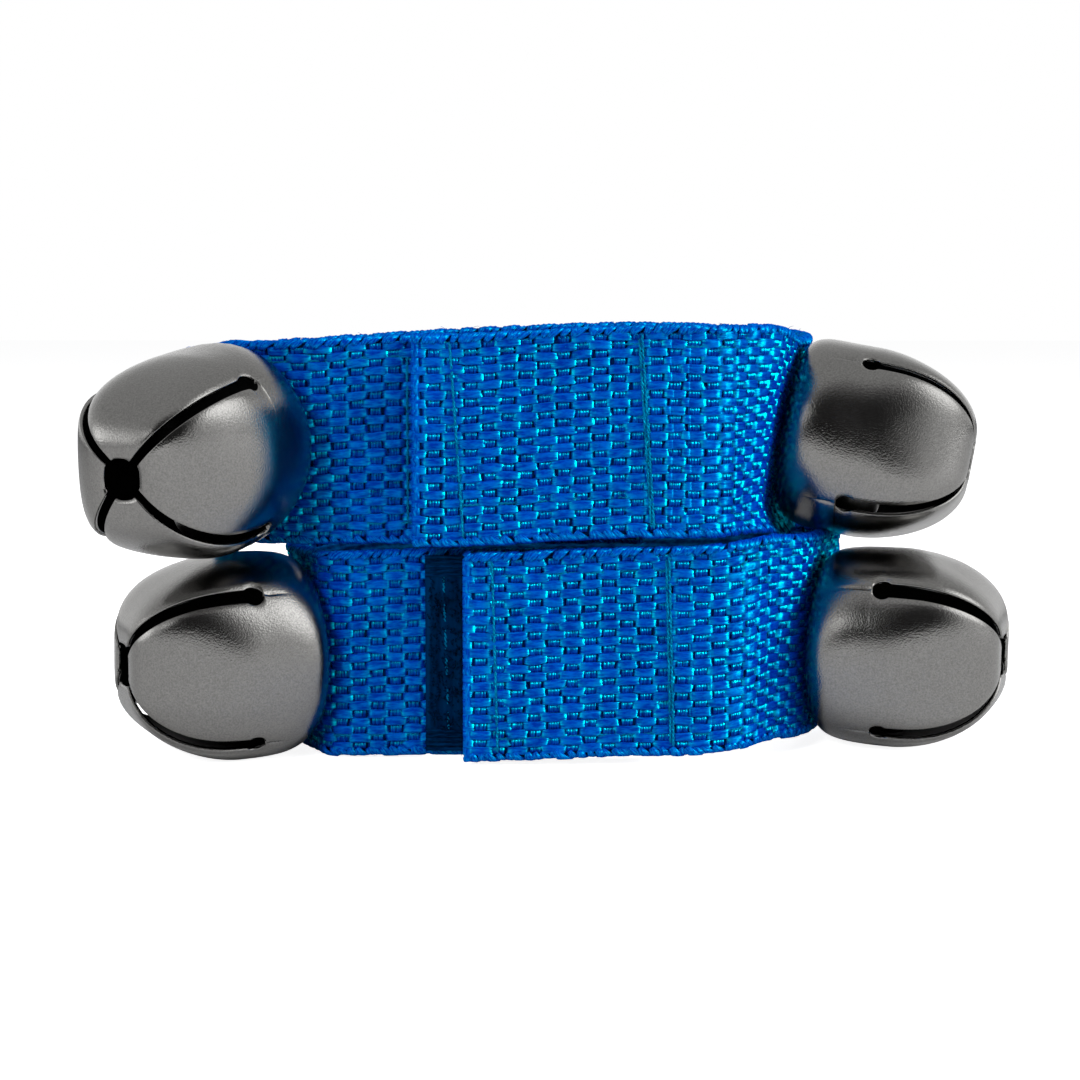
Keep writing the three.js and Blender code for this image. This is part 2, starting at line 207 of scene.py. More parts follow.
def painted(room, azimuth, rise, outer, inner, level):
    """The room with a round patch of an even grey level over it: whole within the inner angle of its
    middle, gone past the outer one. Angles are in degrees; the azimuth starts at the camera's side and
    grows towards +X."""
    turn, lift = np.radians(azimuth), np.radians(rise)
    middle = (np.sin(turn) * np.cos(lift), -np.cos(turn) * np.cos(lift), np.sin(lift))
    near = add_node(tree, "ShaderNodeVectorMath", {0: direction, 1: middle}, operation="DOT_PRODUCT")
    rim = np.cos(np.radians([outer, inner]))
    patch = map_range(tree, near.outputs["Value"], rim, (0.0, 1.0), "SMOOTHSTEP")
    return add_node(tree, "ShaderNodeMix", {
        "Factor": patch, "A": room, "B": (level, level, level, 1.0)}, data_type="RGBA").outputs["Result"]


height = add_node(tree, "ShaderNodeSeparateXYZ", {0: direction}).outputs["Z"]
room = ramp(tree, height, [(rise, (level, level, level)) for rise, level in WALL_LEVELS.items()])
for patch in ROOM_PATCHES:
    room = painted(room, **patch)
plain, mirrored, white = [
    add_node(tree, "ShaderNodeBackground", {"Color": colour}).outputs[0] for colour in (AMBIENT, room, WHITE)]
path = add_node(tree, "ShaderNodeLightPath").outputs
lit = mixed(tree, path["Is Glossy Ray"], plain, mirrored)
clear = maths(tree, "MAXIMUM", path["Is Camera Ray"], path["Is Transmission Ray"])
add_node(tree, "ShaderNodeOutputWorld", {"Surface": mixed(tree, clear, lit, white)})
print("patches in the room:", len(ROOM_PATCHES))

# %% Floor
FLOOR_SIZE = 4000.0
FLOOR_COLOUR = (0.66, 0.66, 0.66, 1.0)
FLOOR_LIFT = 0.9
floor_mesh = bpy.data.meshes.new("floor")
corners = np.array([(-1, -1, 0), (1, -1, 0), (1, 1, 0), (-1, 1, 0)]) * (FLOOR_SIZE / 2 * MM)
floor_mesh.from_pydata(corners.tolist(), [], [(0, 1, 2, 3)])
floor = bpy.data.objects.new("floor", floor_mesh)
bpy.context.scene.collection.objects.link(floor)
lit_by_lamps = bpy.data.collections.new("lit_by_lamps")
lit_by_lamps.objects.link(floor)
floor_material, tree, _ = new_material("pale_floor")
tree.nodes.clear()
path = add_node(tree, "ShaderNodeLightPath").outputs
glow = add_node(tree, "ShaderNodeEmission", {
    "Strength": maths(tree, "MULTIPLY", path["Is Camera Ray"], FLOOR_LIFT)})
matt = add_node(tree, "ShaderNodeBsdfDiffuse", {"Color": FLOOR_COLOUR})
both = add_node(tree, "ShaderNodeAddShader", {0: matt.outputs[0], 1: glow.outputs[0]})
add_node(tree, "ShaderNodeOutputMaterial", {"Surface": both.outputs[0]})
floor_mesh.materials.append(floor_material)
print("floor", FLOOR_SIZE * MM, "m wide")


# %% Lamps
def add_lamp(name, place, size, power, in_gloss=False):
    """A square area lamp at a place in millimetres, aimed at the bands; it lights cloth and floor."""
    lamp = bpy.data.objects.new(name, bpy.data.lights.new(name, "AREA"))
    lamp.data.size = size * MM
    lamp.data.energy = power
    lamp.visible_glossy = in_gloss
    lamp.light_linking.receiver_collection = lit_by_lamps
    lamp.location = Vector(place) * MM
    aim = Vector(LOOK_AT * MM) - lamp.location
    lamp.rotation_euler = aim.to_track_quat("-Z", "Y").to_euler()
    bpy.context.scene.collection.objects.link(lamp)
    print(name, power, "W")


add_lamp("key_right", place=(570, -140, 190), size=260, power=3.2, in_gloss=True)
add_lamp("fill_left", place=(-260, -510, 300), size=200, power=2.6)
add_lamp("top", place=(60, -60, 700), size=500, power=3.7)

# %% [markdown]
# ## From arrays to meshes
# Everything below is a grid of points. A yarn is a ring of points carried along a centre line, a bell
# is a profile carried round an axis. These cells hold the helpers that skin such grids with quads and
# hand them to Blender in one go, with no loop over vertices.

# %% Points and faces into a mesh
METALS = ("nickel_plate", "steel")


def new_piece(name, points, faces, material, slot, uv=None):
    """A mesh from points in millimetres and faces as corner numbers; its slot tells metal from cloth, and
    only cloth is lit by the lamps. It is smooth but for faces that lie across the UV's length, the caps."""
    mesh = bpy.data.meshes.new(name)
    mesh.vertices.add(len(points))
    mesh.vertices.foreach_set("co", (points * MM).astype(np.float32).ravel())
    mesh.loops.add(faces.size)
    mesh.polygons.add(len(faces))
    mesh.polygons.foreach_set("loop_start", np.arange(len(faces)) * faces.shape[1])
    mesh.polygons.foreach_set("vertices", faces.ravel())
    mesh.update(calc_edges=True)
    mesh.shade_smooth()
    if uv is not None:
        mesh.uv_layers.new(name="UVMap").data.foreach_set("uv", uv.astype(np.float32).ravel())
        mesh.polygons.foreach_set("use_smooth", np.ptp(uv[..., 0], axis=1) > 0)
    mesh.materials.append(material)
    piece = bpy.data.objects.new(name, mesh)
    bpy.context.scene.collection.objects.link(piece)
    if slot not in METALS:
        lit_by_lamps.objects.link(piece)
    print(name, len(faces), "quads")
    return piece


# %% Rings into tubes
def tube_template(samples, sides):
    """Quads of one capped tube, with the sample and the share of a turn at each corner."""
    row, side = np.meshgrid(np.arange(samples - 1), np.arange(sides), indexing="ij")
    row, side = row.ravel(), side.ravel()
    rows = np.stack([row, row + 1, row + 1, row], -1)
    turns = np.stack([side, side, side + 1, side + 1], -1)
    wall = rows * sides + turns % sides
    step = np.arange(sides // 2 - 1)
    cap = np.stack([step, step + 1, sides - 2 - step, sides - 1 - step], -1)
    far_cap = (samples - 1) * sides + cap[:, ::-1]
    faces = np.concatenate([wall, cap, far_cap])
    rows = np.concatenate([rows, 0 * cap, 0 * cap + samples - 1])
    turns = np.concatenate([turns, cap, cap])
    return faces, rows, turns / sides


def tubes(grid, lengths):
    """Skin for a grid of tubes, samples, sides and coordinates; UV is millimetres along and turns round."""
    count, samples, sides = grid.shape[:3]
    faces, rows, turns = tube_template(samples, sides)
    shift = np.arange(count)[:, None, None]
    lengths = np.broadcast_to(lengths, (count, samples))
    uv = np.stack([lengths[:, rows], np.broadcast_to(turns + shift, (count, *rows.shape))], -1)
    return grid.reshape(-1, 3), (faces + shift * samples * sides).reshape(-1, 4), uv.reshape(-1, 4, 2)


def joined(*parts):
    """Several skins as one: points, faces and UVs end to end."""
    starts = np.cumsum([0] + [len(points) for points, _, _ in parts[:-1]])
    return (
        np.concatenate([points for points, _, _ in parts]),
        np.concatenate([faces + start for (_, faces, _), start in zip(parts, starts)]),
        np.concatenate([uv for _, _, uv in parts]),
    )


def unit(vectors):
    """Vectors of length one."""
    return vectors / np.linalg.norm(vectors, axis=-1, keepdims=True)


def strand(centre, width, thick, sides=8, roundness=1.0, over=(0.0, 1.0, 0.0)):
    """Flattened rings along centre lines (tubes, samples, 3). A ring reaches half the width square to
    the line and to the direction over, and half the thickness in the third direction; cosine and sine
    are raised to the roundness, so that a low one gives a boxy ring."""
    ahead = unit(np.gradient(centre, axis=1))
    across = unit(np.cross(ahead, np.broadcast_to(over, ahead.shape)))
    rise = np.cross(across, ahead)
    turn = 2 * np.pi * (np.arange(sides) + 0.5) / sides
    ring_across = np.sign(np.cos(turn)) * np.abs(np.cos(turn)) ** roundness
    ring_rise = np.sign(np.sin(turn)) * np.abs(np.sin(turn)) ** roundness
    half_width = np.broadcast_to(width, centre.shape[:2])[..., None, None] / 2
    half_thick = np.broadcast_to(thick, centre.shape[:2])[..., None, None] / 2
    return (centre[:, :, None] + half_width * ring_across[:, None] * across[:, :, None]
            + half_thick * ring_rise[:, None] * rise[:, :, None])


print("one tube of 3 rings of 4:", len(tube_template(3, 4)[0]), "quads")

# %% [markdown]
# ## The line a strap follows
# Seen from above, a strap is straight walls joined by round corners, so its heading is constant on a
# wall and turns evenly on a corner. A point is then given by how far it lies along the strap, how far
# out of it and how far up it. Near a bell the strap leans with the bell. The walls are the same as in
# the solids, and where the bells sit, and where the whole band lies, is read from the frame. Three things
# that only cloth does are added for the eye: it sways up and down along its length, its lower lip curls
# out round a bell, and a corner is pressed in.

# %% Strap sizes, in millimetres
WEBBING_WIDTH = 25.4
WEBBING_THICK = 1.6
FACE = WEBBING_THICK / 2
LOOP_TAPE_LENGTH = 24.0
LOOP_TAPE_THICK = 1.3
LOOP_TAPE_INSET = 0.6
HOOK_TAPE_THICK = 1.1
HOOK_END_INSET = 2.4
HOOK_ROOT_INSET = 0.8
LINING_START_GAP = 1.5
LINING_END_INSET = 0.8
LAYER_GAP = 0.25
UNDERLAP_REACH = 17.6
UNDERLAP_END = 12.0
FLAP_REACH = UNDERLAP_REACH + WEBBING_THICK + LOOP_TAPE_THICK + HOOK_TAPE_THICK + 3 * LAYER_GAP
HINGE_X = {"lower": 16.2, "upper": 14.0}
FLAP_END_X = {"lower": -9.2, "upper": -15.2}
# Each wall: the angle it faces, its distance from the band's middle, the radius of the corner after it.
WALLS = {
    "lower": [(270, UNDERLAP_REACH, 4), (205, 30.6, 8), (160, 29, 16), (90, 20, 12), (-18.5, 34.2, 14),
              (-90, FLAP_REACH, 0)],
    "upper": [(270, UNDERLAP_REACH, 14), (241, 29.4, 5), (165, 39.7, 12), (90, 20, 9), (-12.7, 29.8, 10),
              (-90, FLAP_REACH, 0)],
}
# Walls and corners take turns along the line, and these three of them have a number here.
BEHIND_LEFT_WALL = 4
BACK_WALL = 6
RIGHT_CORNER = 9
print("the flap lies", round(FLAP_REACH - UNDERLAP_REACH, 2), "mm outside the underlap")

# %% What the cloth does of itself
LEAN_FLAT = 6.0
LEAN_REACH = 26.0
LEAN_SEARCH_STEP = 0.02
# How far the cloth stands over its level line, or hangs under it, at places along it. It is level at
# the left bell.
SWAY = {
    "lower": {"flap_end": 0.5, "behind_left": 0.0, "back": 0.0, "right_bell": 1.4, "right": 2.1,
              "peel_line": 1.3},
    "upper": {"flap_end": 0.7, "behind_left": -1.6, "back": 1.4, "right_bell": 0.0, "right": 1.8,
              "peel_line": 1.9},
}
SWAY_BACK_SHARE = 0.8
# The lower edge of a strap curls out round the shoulder of its right bell.
LIP_START = 8.0
LIP_CURL = {"lower": 0.0, "upper": 2.6}
# The corner beside a right bell is pressed in: how deep, and where and how wide as shares of the corner.
CORNER_DENT = {"lower": 1.5, "upper": 1.2}
CORNER_DENT_AT = 0.34
CORNER_DENT_WIDTH = 0.29
print("most sway", max(rise for places in SWAY.values() for rise in places.values()), "mm")


# %% Strap line
def smooth_step(value, low, high):
    """0 below low, 1 above high, and an even S between them."""
    share = np.clip((value - low) / (high - low), 0, 1)
    return share * share * (3 - 2 * share)


class Strap:
    """The line of one band: stretches with a start, a heading and a turning per millimetre."""

    def __init__(self, band):
        self.band = band
        lengths = self.lay_stretches(WALLS[band])
        self.hinge = self.length - (HINGE_X[band] - FLAP_END_X[band])
        self.loop_tape = (LOOP_TAPE_INSET, LOOP_TAPE_INSET + LOOP_TAPE_LENGTH)
        self.lining = (self.loop_tape[1] + LINING_START_GAP, self.hinge - LINING_END_INSET)
        self.hook_tape = (self.hinge + HOOK_ROOT_INSET, self.length - HOOK_END_INSET)
        low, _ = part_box(f"{band}_flap_webbing")
        self.shift = np.array(low) / MM - [FLAP_END_X[band], -FLAP_REACH - FACE, 0]
        self.leans = [self.lean_at(side) for side in SIDES]
        self.dent_at = self.starts[RIGHT_CORNER] + CORNER_DENT_AT * lengths[RIGHT_CORNER]
        self.dent_width = CORNER_DENT_WIDTH * lengths[RIGHT_CORNER]
        left, right = self.leans[0][0], self.leans[1][0]
        back = self.starts[BACK_WALL] + SWAY_BACK_SHARE * lengths[BACK_WALL]
        sway = SWAY[band]
        self.sway_at, self.sway_rise = np.transpose([
            (0, sway["flap_end"]),
            (self.loop_tape[1], sway["flap_end"]),
            (left, 0),
            (self.starts[BEHIND_LEFT_WALL], sway["behind_left"]),
            (back, sway["back"]),
            (right, sway["right_bell"]),
            ((right + self.hinge) / 2, sway["right"]),
            (self.hinge, sway["peel_line"]),
            (self.length, sway["flap_end"]),
        ])

    def lay_stretches(self, walls):
        """Walls and corners end to end: neighbouring walls meet where both their distances from the middle
        hold, and a corner takes its radius times the tangent of half its turn off each."""
        facing = np.radians([wall[0] for wall in walls])
        normals = np.stack([np.cos(facing), np.sin(facing)], -1)
        reach = np.array([wall[1] for wall in walls])
        pairs = np.stack([normals[:-1], normals[1:]], 1)
        corners = np.linalg.solve(pairs, np.stack([reach[:-1], reach[1:]], -1)[..., None])[..., 0]
        turns = facing[:-1] - facing[1:]
        radii = np.array([wall[2] for wall in walls[:-1]], float)
        trims = radii * np.tan(turns / 2)
        flap_end = [FLAP_END_X[self.band], -FLAP_REACH]
        ends = np.vstack([[UNDERLAP_END, -UNDERLAP_REACH], corners, flap_end])
        straights = np.linalg.norm(np.diff(ends, axis=0), axis=1)
        straights -= np.append(0, trims) + np.append(trims, 0)
        lengths = np.zeros(2 * len(walls) - 1)
        lengths[0::2] = straights
        lengths[1::2] = radii * turns
        self.turning = np.zeros_like(lengths)
        self.turning[1::2] = -1 / radii
        self.starts = np.append(0, np.cumsum(lengths)[:-1])
        self.length = lengths.sum()
        self.heading = facing[0] - np.pi / 2 + np.append(0, np.cumsum(lengths * self.turning)[:-1])
        chords = self.chord(self.heading, self.turning, lengths)
        self.places = ends[0] + np.vstack([[0, 0], np.cumsum(chords, axis=0)[:-1]])
        return lengths

    @staticmethod
    def chord(heading, turning, run):
        """From the start of a bend to a point on it: along the mean heading, shortened by the sinc."""
        mean = heading + turning * run / 2
        length = run * np.sinc(turning * run / (2 * np.pi))
        return np.stack([length * np.cos(mean), length * np.sin(mean)], -1)

    def plan(self, along):
        """Place in plan and heading at a distance along the strap."""
        piece = np.clip(np.searchsorted(self.starts, along, side="right") - 1, 0, len(self.starts) - 1)
        run = along - self.starts[piece]
        spot = self.places[piece] + self.chord(self.heading[piece], self.turning[piece], run)
        return spot, self.heading[piece] + self.turning[piece] * run

    def lean_at(self, side):
        """Where a bell sits along the strap, how far it droops, and where the strap is upright again."""
        joint = joints[f"{self.band}_{side}_bell_turn"]
        base = np.array(joint["pos_m"][:2]) / MM - self.shift[:2]
        steps = np.arange(0, self.hinge, LEAN_SEARCH_STEP)
        station = steps[np.linalg.norm(self.plan(steps)[0] - base, axis=-1).argmin()]
        reach = min(LEAN_REACH, station - self.lining[0], self.lining[1] - station)
        return station, -np.arcsin(joint["axis"][2]), reach

    def sway(self, along):
        """Rise of the cloth: from one named place to the next as an even S."""
        after = np.clip(np.searchsorted(self.sway_at, along), 1, len(self.sway_at) - 1)
        share = smooth_step(along, self.sway_at[after - 1], self.sway_at[after])
        return self.sway_rise[after - 1] + share * (self.sway_rise[after] - self.sway_rise[after - 1])

    def place(self, points):
        """Points given as (along, out, up) put where they lie, in millimetres of the frame. The lip grows
        as a square towards the lower edge, the dent is a bell curve along the corner."""
        along, out, up = np.moveaxis(points, -1, 0)
        spot, heading = self.plan(along)
        near = [1 - smooth_step(np.abs(along - at), LEAN_FLAT, reach) for at, _, reach in self.leans]
        lean = sum(share * droop for share, (_, droop, _) in zip(near, self.leans))
        lip = np.clip((-up - LIP_START) / (WEBBING_WIDTH / 2 - LIP_START), 0, None)
        dent = CORNER_DENT[self.band] * np.exp(-((along - self.dent_at) / self.dent_width) ** 2)
        out = out + LIP_CURL[self.band] * near[1] * lip ** 2 - dent
        reach = out * np.cos(lean) + up * np.sin(lean)
        height = WEBBING_WIDTH / 2 + up * np.cos(lean) - out * np.sin(lean) + self.sway(along)
        place = [spot[..., 0] - np.sin(heading) * reach, spot[..., 1] + np.cos(heading) * reach, height]
        return np.stack(place, -1) + self.shift


straps = {band: Strap(band) for band in BANDS}
for band, strap in straps.items():
    print(band, "strap", round(strap.length, 1), "mm, flap", round(strap.length - strap.hinge, 1), "mm")

# %% [markdown]
# ## Blue yarn
# The webbing is dyed nylon: deep blue, darker between the yarns, and cyan where the light slides along
# the filaments. The darker blue between the yarns is painted shade: the picks and the strip inside the
# weave get darker dyes than the ends. The base colour is the deep blue, and the reflection itself is
# tinted, so that highlights turn cyan instead of white. Fibres gloss in long streaks, so the highlight
# is stretched along the yarn, and fine streaks of dye run along it too: both follow the UV map, which
# counts millimetres along the yarn and turns round it. Where a yarn turns down into the cloth its fibres
# open and shine more, and an attribute called bend marks these places.

# %% Yarn material
CYAN = (0.0, 0.78, 1.0, 1.0)
FIBRE_STRETCH = 0.78
BEND_GLOSS = 0.75
UNEVEN_GLOSS = (0.3, 1.7)
FILAMENT_LEVELS = (0.35, 0.65)
FILAMENT_STRETCH = 0.6
FILAMENT_BUMP = 0.8
STREAK_ROUGHNESS = 0.6
YARN_ROUGHNESS = 0.8
DYE_LEVELS = (0.36, 0.64)
DYE_PATCH_SCALE = 220.0
DYE_PATCH_SHARE = 0.35
# Each yarn: its dark and bright dye, the share and roughness of its gloss, how many streaks lie round it
# and how deep they are.
YARNS = {
    "blue_yarn": ((0.0, 0.018, 0.26), (0.0, 0.05, 0.46), 0.09, 0.3, 11.0, 0.05),
    "edge_yarn": ((0.0, 0.018, 0.24), (0.0, 0.06, 0.48), 0.13, 0.28, 11.0, 0.06),
    # The picks' dyes are darker than the ends': painted shade for where they lie between the floats.
    "weft_yarn": ((0.0, 0.01, 0.17), (0.0, 0.035, 0.36), 0.06, 0.3, 4.0, 0.03),
    # The core's near-black dye is painted shade, for the depths that show through the gaps of the weave.
    "core_yarn": ((0.0, 0.004, 0.04), (0.0, 0.012, 0.09), 0.02, 0.6, 60.0, 0.06),
    "teal_thread": ((0.0, 0.06, 0.18), (0.0, 0.15, 0.34), 0.1, 0.35, 6.0, 0.03),
    # The pile, its tape and selvage share a near-black dye: partly the tape's colour, partly painted shadow
    # of the flap beside it.
    "pile_yarn_painted_shade": ((0.0, 0.004, 0.02), (0.0, 0.016, 0.07), 0.01, 0.6, 4.0, 0.02),
    "hook_yarn": ((0.0, 0.03, 0.11), (0.0, 0.08, 0.24), 0.06, 0.4, 4.0, 0.02),
    "lining_yarn": ((0.0, 0.03, 0.16), (0.0, 0.1, 0.34), 0.04, 0.5, 60.0, 0.08),
}


def yarn_material(name, dark, bright, gloss, roughness, streaks, relief):
    """Streaked yarn: noise stretched along the yarn mixes two dyes and raises the filaments, and a
    share of cyan gloss lies over them, larger on some filaments than on others."""
    material, tree, shader = new_material(name, Roughness=YARN_ROUGHNESS, Specular_IOR_Level=0.0)
    uv = add_node(tree, "ShaderNodeUVMap", uv_map="UVMap").outputs["UV"]
    along = add_node(tree, "ShaderNodeMapping", {"Vector": uv, "Scale": (FILAMENT_STRETCH, streaks, 1.0)})
    filaments = noise(tree, along.outputs[0], 1.0, roughness=STREAK_ROUGHNESS, dimensions="2D")
    here = add_node(tree, "ShaderNodeTexCoord").outputs["Object"]
    patches = noise(tree, here, DYE_PATCH_SCALE, detail=3.0)
    level = add_node(tree, "ShaderNodeMix", {"Factor": DYE_PATCH_SHARE, "A": filaments, "B": patches})
    dye = ramp(tree, level.outputs["Result"], list(zip(DYE_LEVELS, (dark, bright))))
    tree.links.new(dye, shader.inputs["Base Color"])
    normal = bump(tree, shader, filaments, FILAMENT_BUMP, relief)
    bend = add_node(tree, "ShaderNodeAttribute", attribute_name="bend").outputs["Fac"]
    open_fibres = map_range(tree, bend, (0.0, 1.0), (gloss, BEND_GLOSS))
    uneven = map_range(tree, filaments, FILAMENT_LEVELS, UNEVEN_GLOSS)
    fibre = add_node(tree, "ShaderNodeTangent", direction_type="UV_MAP", uv_map="UVMap").outputs["Tangent"]
    sheen = add_node(tree, "ShaderNodeBsdfGlossy", {
        "Color": CYAN, "Roughness": roughness, "Anisotropy": FIBRE_STRETCH, "Tangent": fibre,
        "Normal": normal})
    shine = maths(tree, "MULTIPLY", open_fibres, uneven)
    covered = mixed(tree, shine, shader.outputs[0], sheen.outputs[0])
    tree.links.new(covered, tree.nodes["Material Output"].inputs["Surface"])
    return material


yarns = {name: yarn_material(name, *finish) for name, finish in YARNS.items()}
print("yarn finishes:", *yarns)

# %% [markdown]
# ## Webbing
# The strap is a plain weave: lengthwise ends ride over one pick and under the next, and neighbouring
# ends do the opposite, which gives the brick pattern of floats. A bump map could fake it, but the edges
# would stay flat and the cut ends empty, so every yarn is a tube. All of them wander a little, and the
# sewing thread pulls them in.

# %% Weave sizes
WARP_ENDS = 24
WARP_PITCH = 0.99
WEAVE_PERIOD = 4.4
QUICK_WAVE = 4.7
QUICK_SHARE = 0.7
SEAM_PINCH = 0.2
SEAM_PINCH_REACH = 0.8
# Where each band's flap is sewn: how far the two cross seams lie from the peel line and from the free
# end, how far they slant, and the heights of the two long seams over the strap's middle.
FLAP_SEAM = {
    "lower": {"root": 0.6, "end": 3.7, "slant": 0.7, "rows": (-9.9, 9.8)},
    "upper": {"root": 1.3, "end": 5.2, "slant": 1.7, "rows": (-7.7, 10.4)},
}


def waver(rows, along, size, wave):
    """Gentle wandering: two sines along the strap with a phase of their own on every row."""
    phase = draw.uniform(0, 2 * np.pi, (2, rows, 1))
    slow = np.sin(2 * np.pi * along / wave + phase[0])
    return size * (slow + QUICK_SHARE * np.sin(QUICK_WAVE * np.pi * along / wave + phase[1]))


def flap_seam_lines(strap):
    """Distances along the strap of the flap's two cross seams."""
    seam = FLAP_SEAM[strap.band]
    return strap.hinge + seam["root"], strap.length - seam["end"]


def seam_pinch(strap, along, up):
    """How far the thread pulls the yarns in: a bell curve round each cross seam, which slants."""
    slant = FLAP_SEAM[strap.band]["slant"] * up / WEBBING_WIDTH
    return sum(SEAM_PINCH * np.exp(-((along - line - slant) / SEAM_PINCH_REACH) ** 2)
               for line in flap_seam_lines(strap))


print("ends cover", round(WARP_ENDS * WARP_PITCH, 1), "mm of the width")

# %% [markdown]
# ### Lengthwise ends
# An end is a flattened tube whose height is a sine squared off by a hyperbolic tangent, so that it lies
# flat on the cloth and turns down quickly. Its rings crowd where it turns. On a real float the filaments
# don't turn down all at once, so each side of the tube has a phase of its own.

# %% Lengthwise ends
WARP_CRIMP = 0.38
WARP_THICK = 0.5
WARP_WIDTH = 1.12
WARP_SIDES = 8
WARP_ROUNDNESS = 0.5
FLOAT_STEEPNESS = 5.0
FLOAT_BIAS = 0.3
FLOAT_SWELL = 0.08
FLOAT_RAGGED = 0.22
RAGGED_WAVE = 1.1
CUT_INSET = 0.05
CUT_STEP = 0.01
# Where a ring of an end lies within one wave, in degrees: close together where a float turns down.
WARP_RINGS = (-42, -25, -10, 8, 60, 120, 172, 190, 205, 222, 270)
# How far the ends wander, and over what length.
WARP_WANDER = {"along": (0.13, 9.0), "up": (0.045, 7.0), "out": (0.03, 6.0), "width": (0.045, 11.0)}


def float_height(phase):
    """From -1 to 1: the squared-off sine, lifted a little so that floats are longer outside."""
    return np.tanh(FLOAT_STEEPNESS * (np.sin(phase) + FLOAT_BIAS))


def warp_rings(strap):
    """Rings of all the lengthwise ends, half a period apart on neighbours, with the distance along each
    and how far it is turning. Rings past the cut are gathered just inside it."""
    waves = np.arange(-1, int(strap.length / WEAVE_PERIOD) + 2)
    phase = np.radians(360 * waves[:, None] + np.array(WARP_RINGS)).ravel()[None]
    row = np.arange(WARP_ENDS)[:, None]
    level = (phase / (2 * np.pi) - row % 2 / 2) * WEAVE_PERIOD
    along = level + waver(WARP_ENDS, level, *WARP_WANDER["along"])
    number = np.arange(along.shape[1])
    along = np.maximum(along, CUT_INSET + CUT_STEP * number)
    along = np.minimum(along, strap.length - CUT_INSET - CUT_STEP * number[::-1])
    wave = float_height(phase)
    up = (row - (WARP_ENDS - 1) / 2) * WARP_PITCH + waver(WARP_ENDS, along, *WARP_WANDER["up"])
    crimp = WARP_CRIMP - seam_pinch(strap, along, up)
    out = wave * crimp + waver(WARP_ENDS, along, *WARP_WANDER["out"])
    swell = 1 - FLOAT_SWELL + FLOAT_SWELL * wave ** 2
    width = WARP_WIDTH * (swell + waver(WARP_ENDS, along, *WARP_WANDER["width"]))
    rings = strand(np.stack([along, out, up], -1), width, WARP_THICK, WARP_SIDES, WARP_ROUNDNESS)
    side = draw.uniform(0, 2 * np.pi, (WARP_ENDS, 1, WARP_SIDES))
    ragged = phase[..., None] + FLOAT_RAGGED * np.sin(along[..., None] / RAGGED_WAVE + side)
    rings[..., 1] += crimp[..., None] * (float_height(ragged) - wave[..., None])
    return rings, along, np.broadcast_to(np.sqrt(1 - wave ** 2), along.shape)


print("rings to a wave:", len(WARP_RINGS))

# %% [markdown]
# ### Cross picks
# A pick is four thin yarns side by side that dip where an end rides over them and show between the
# floats as short glossy bars. They need few rings: two or three at each end they cross.

# %% Cross picks
WEFT_YARNS = 4
WEFT_SIDES = 4
WEFT_CRIMP = 0.3
WEFT_FLAT = 0.28
WEFT_SWELL = 0.06
WEFT_THICK = 0.4
WEFT_WIDTH = 0.46
WEFT_SPREAD = 0.33
WEFT_MARGIN = 0.5
WEFT_WANDER = {"along": (0.03, 4.0), "out": (0.02, 3.0)}


def weft_rings(strap):
    """Rings of the cross yarns: the height is a cosine that changes sign from end to end, flat over
    each, and a little higher in the middle of it."""
    picks = np.arange(int((strap.length - WEFT_MARGIN) / WEAVE_PERIOD * 2))
    pick = np.repeat(picks, WEFT_YARNS)[:, None]
    above = np.arange(0, WARP_ENDS, 2)[:, None] + [-WEFT_FLAT, 0, WEFT_FLAT]
    below = np.arange(1, WARP_ENDS, 2)[:, None] + [-WEFT_FLAT, WEFT_FLAT]
    even_pick = np.concatenate([below - 1, above + 1], 1).ravel()
    odd_pick = np.concatenate([above, below], 1).ravel()
    row = np.where(pick % 2 == 0, even_pick, odd_pick)
    turning = np.abs(row - np.round(row)) / WEFT_FLAT
    spread = np.tile((np.arange(WEFT_YARNS) - (WEFT_YARNS - 1) / 2) * WEFT_SPREAD, len(picks))[:, None]
    wander = waver(len(pick), row, *WEFT_WANDER["along"])
    along = WEAVE_PERIOD / 4 + pick * WEAVE_PERIOD / 2 + spread + wander
    out = (WEFT_CRIMP + WEFT_SWELL * (1 - turning)) * -np.cos(np.pi * (np.round(row) + pick))
    out = out + waver(len(pick), row, *WEFT_WANDER["out"])
    up = (row - (WARP_ENDS - 1) / 2) * WARP_PITCH
    rings = strand(np.stack([along, out, up], -1), WEFT_WIDTH, WEFT_THICK, WEFT_SIDES)
    return rings, up, along[:, 0], turning * (row > np.round(row))


print("picks to a centimetre:", round(20 / WEAVE_PERIOD, 1))

# %% [markdown]
# ### Edges and cut ends
# Where the real weft turns back, the strap's edges look like rope: short flattened leaves go round the
# edge on a slant, each a little different. Loose filaments stand out of them. A strip inside the weave
# stands for the straight yarns that fill it and closes its gaps; its near-black dye is painted shade
# that shows through them. An uneven bead at each cut is where the nylon was melted.

# %% Edges and loose filaments
EDGE_PITCH = WEAVE_PERIOD / 4
EDGE_ROUND = 0.58
EDGE_WIDTH = 1.2
EDGE_THICK = 0.46
EDGE_TAPER = 0.45
EDGE_WRAP = np.radians(115)
EDGE_INSET = 0.6
EDGE_END = 0.15
EDGE_JITTER = 0.22
EDGE_SIZES = (0.8, 1.2)
EDGE_SLANTS = (0.5, 1.5)
EDGE_RINGS = 9
EDGE_SIDES = 6
FUZZ = 110
FUZZ_THREAD = 0.045
FUZZ_INSET = 1.5
FUZZ_ROOT_DEPTH = 0.35
FUZZ_REACH = (0.2, 0.65)
FUZZ_DRIFT = (-1.4, 1.4)
FUZZ_ROOT = (-0.5, 0.5)
FUZZ_LEAN = (-0.7, 0.9)
FUZZ_CURL = (0.6, 1.6)
FUZZ_OVER = (0.2, 0.95, 0.3)


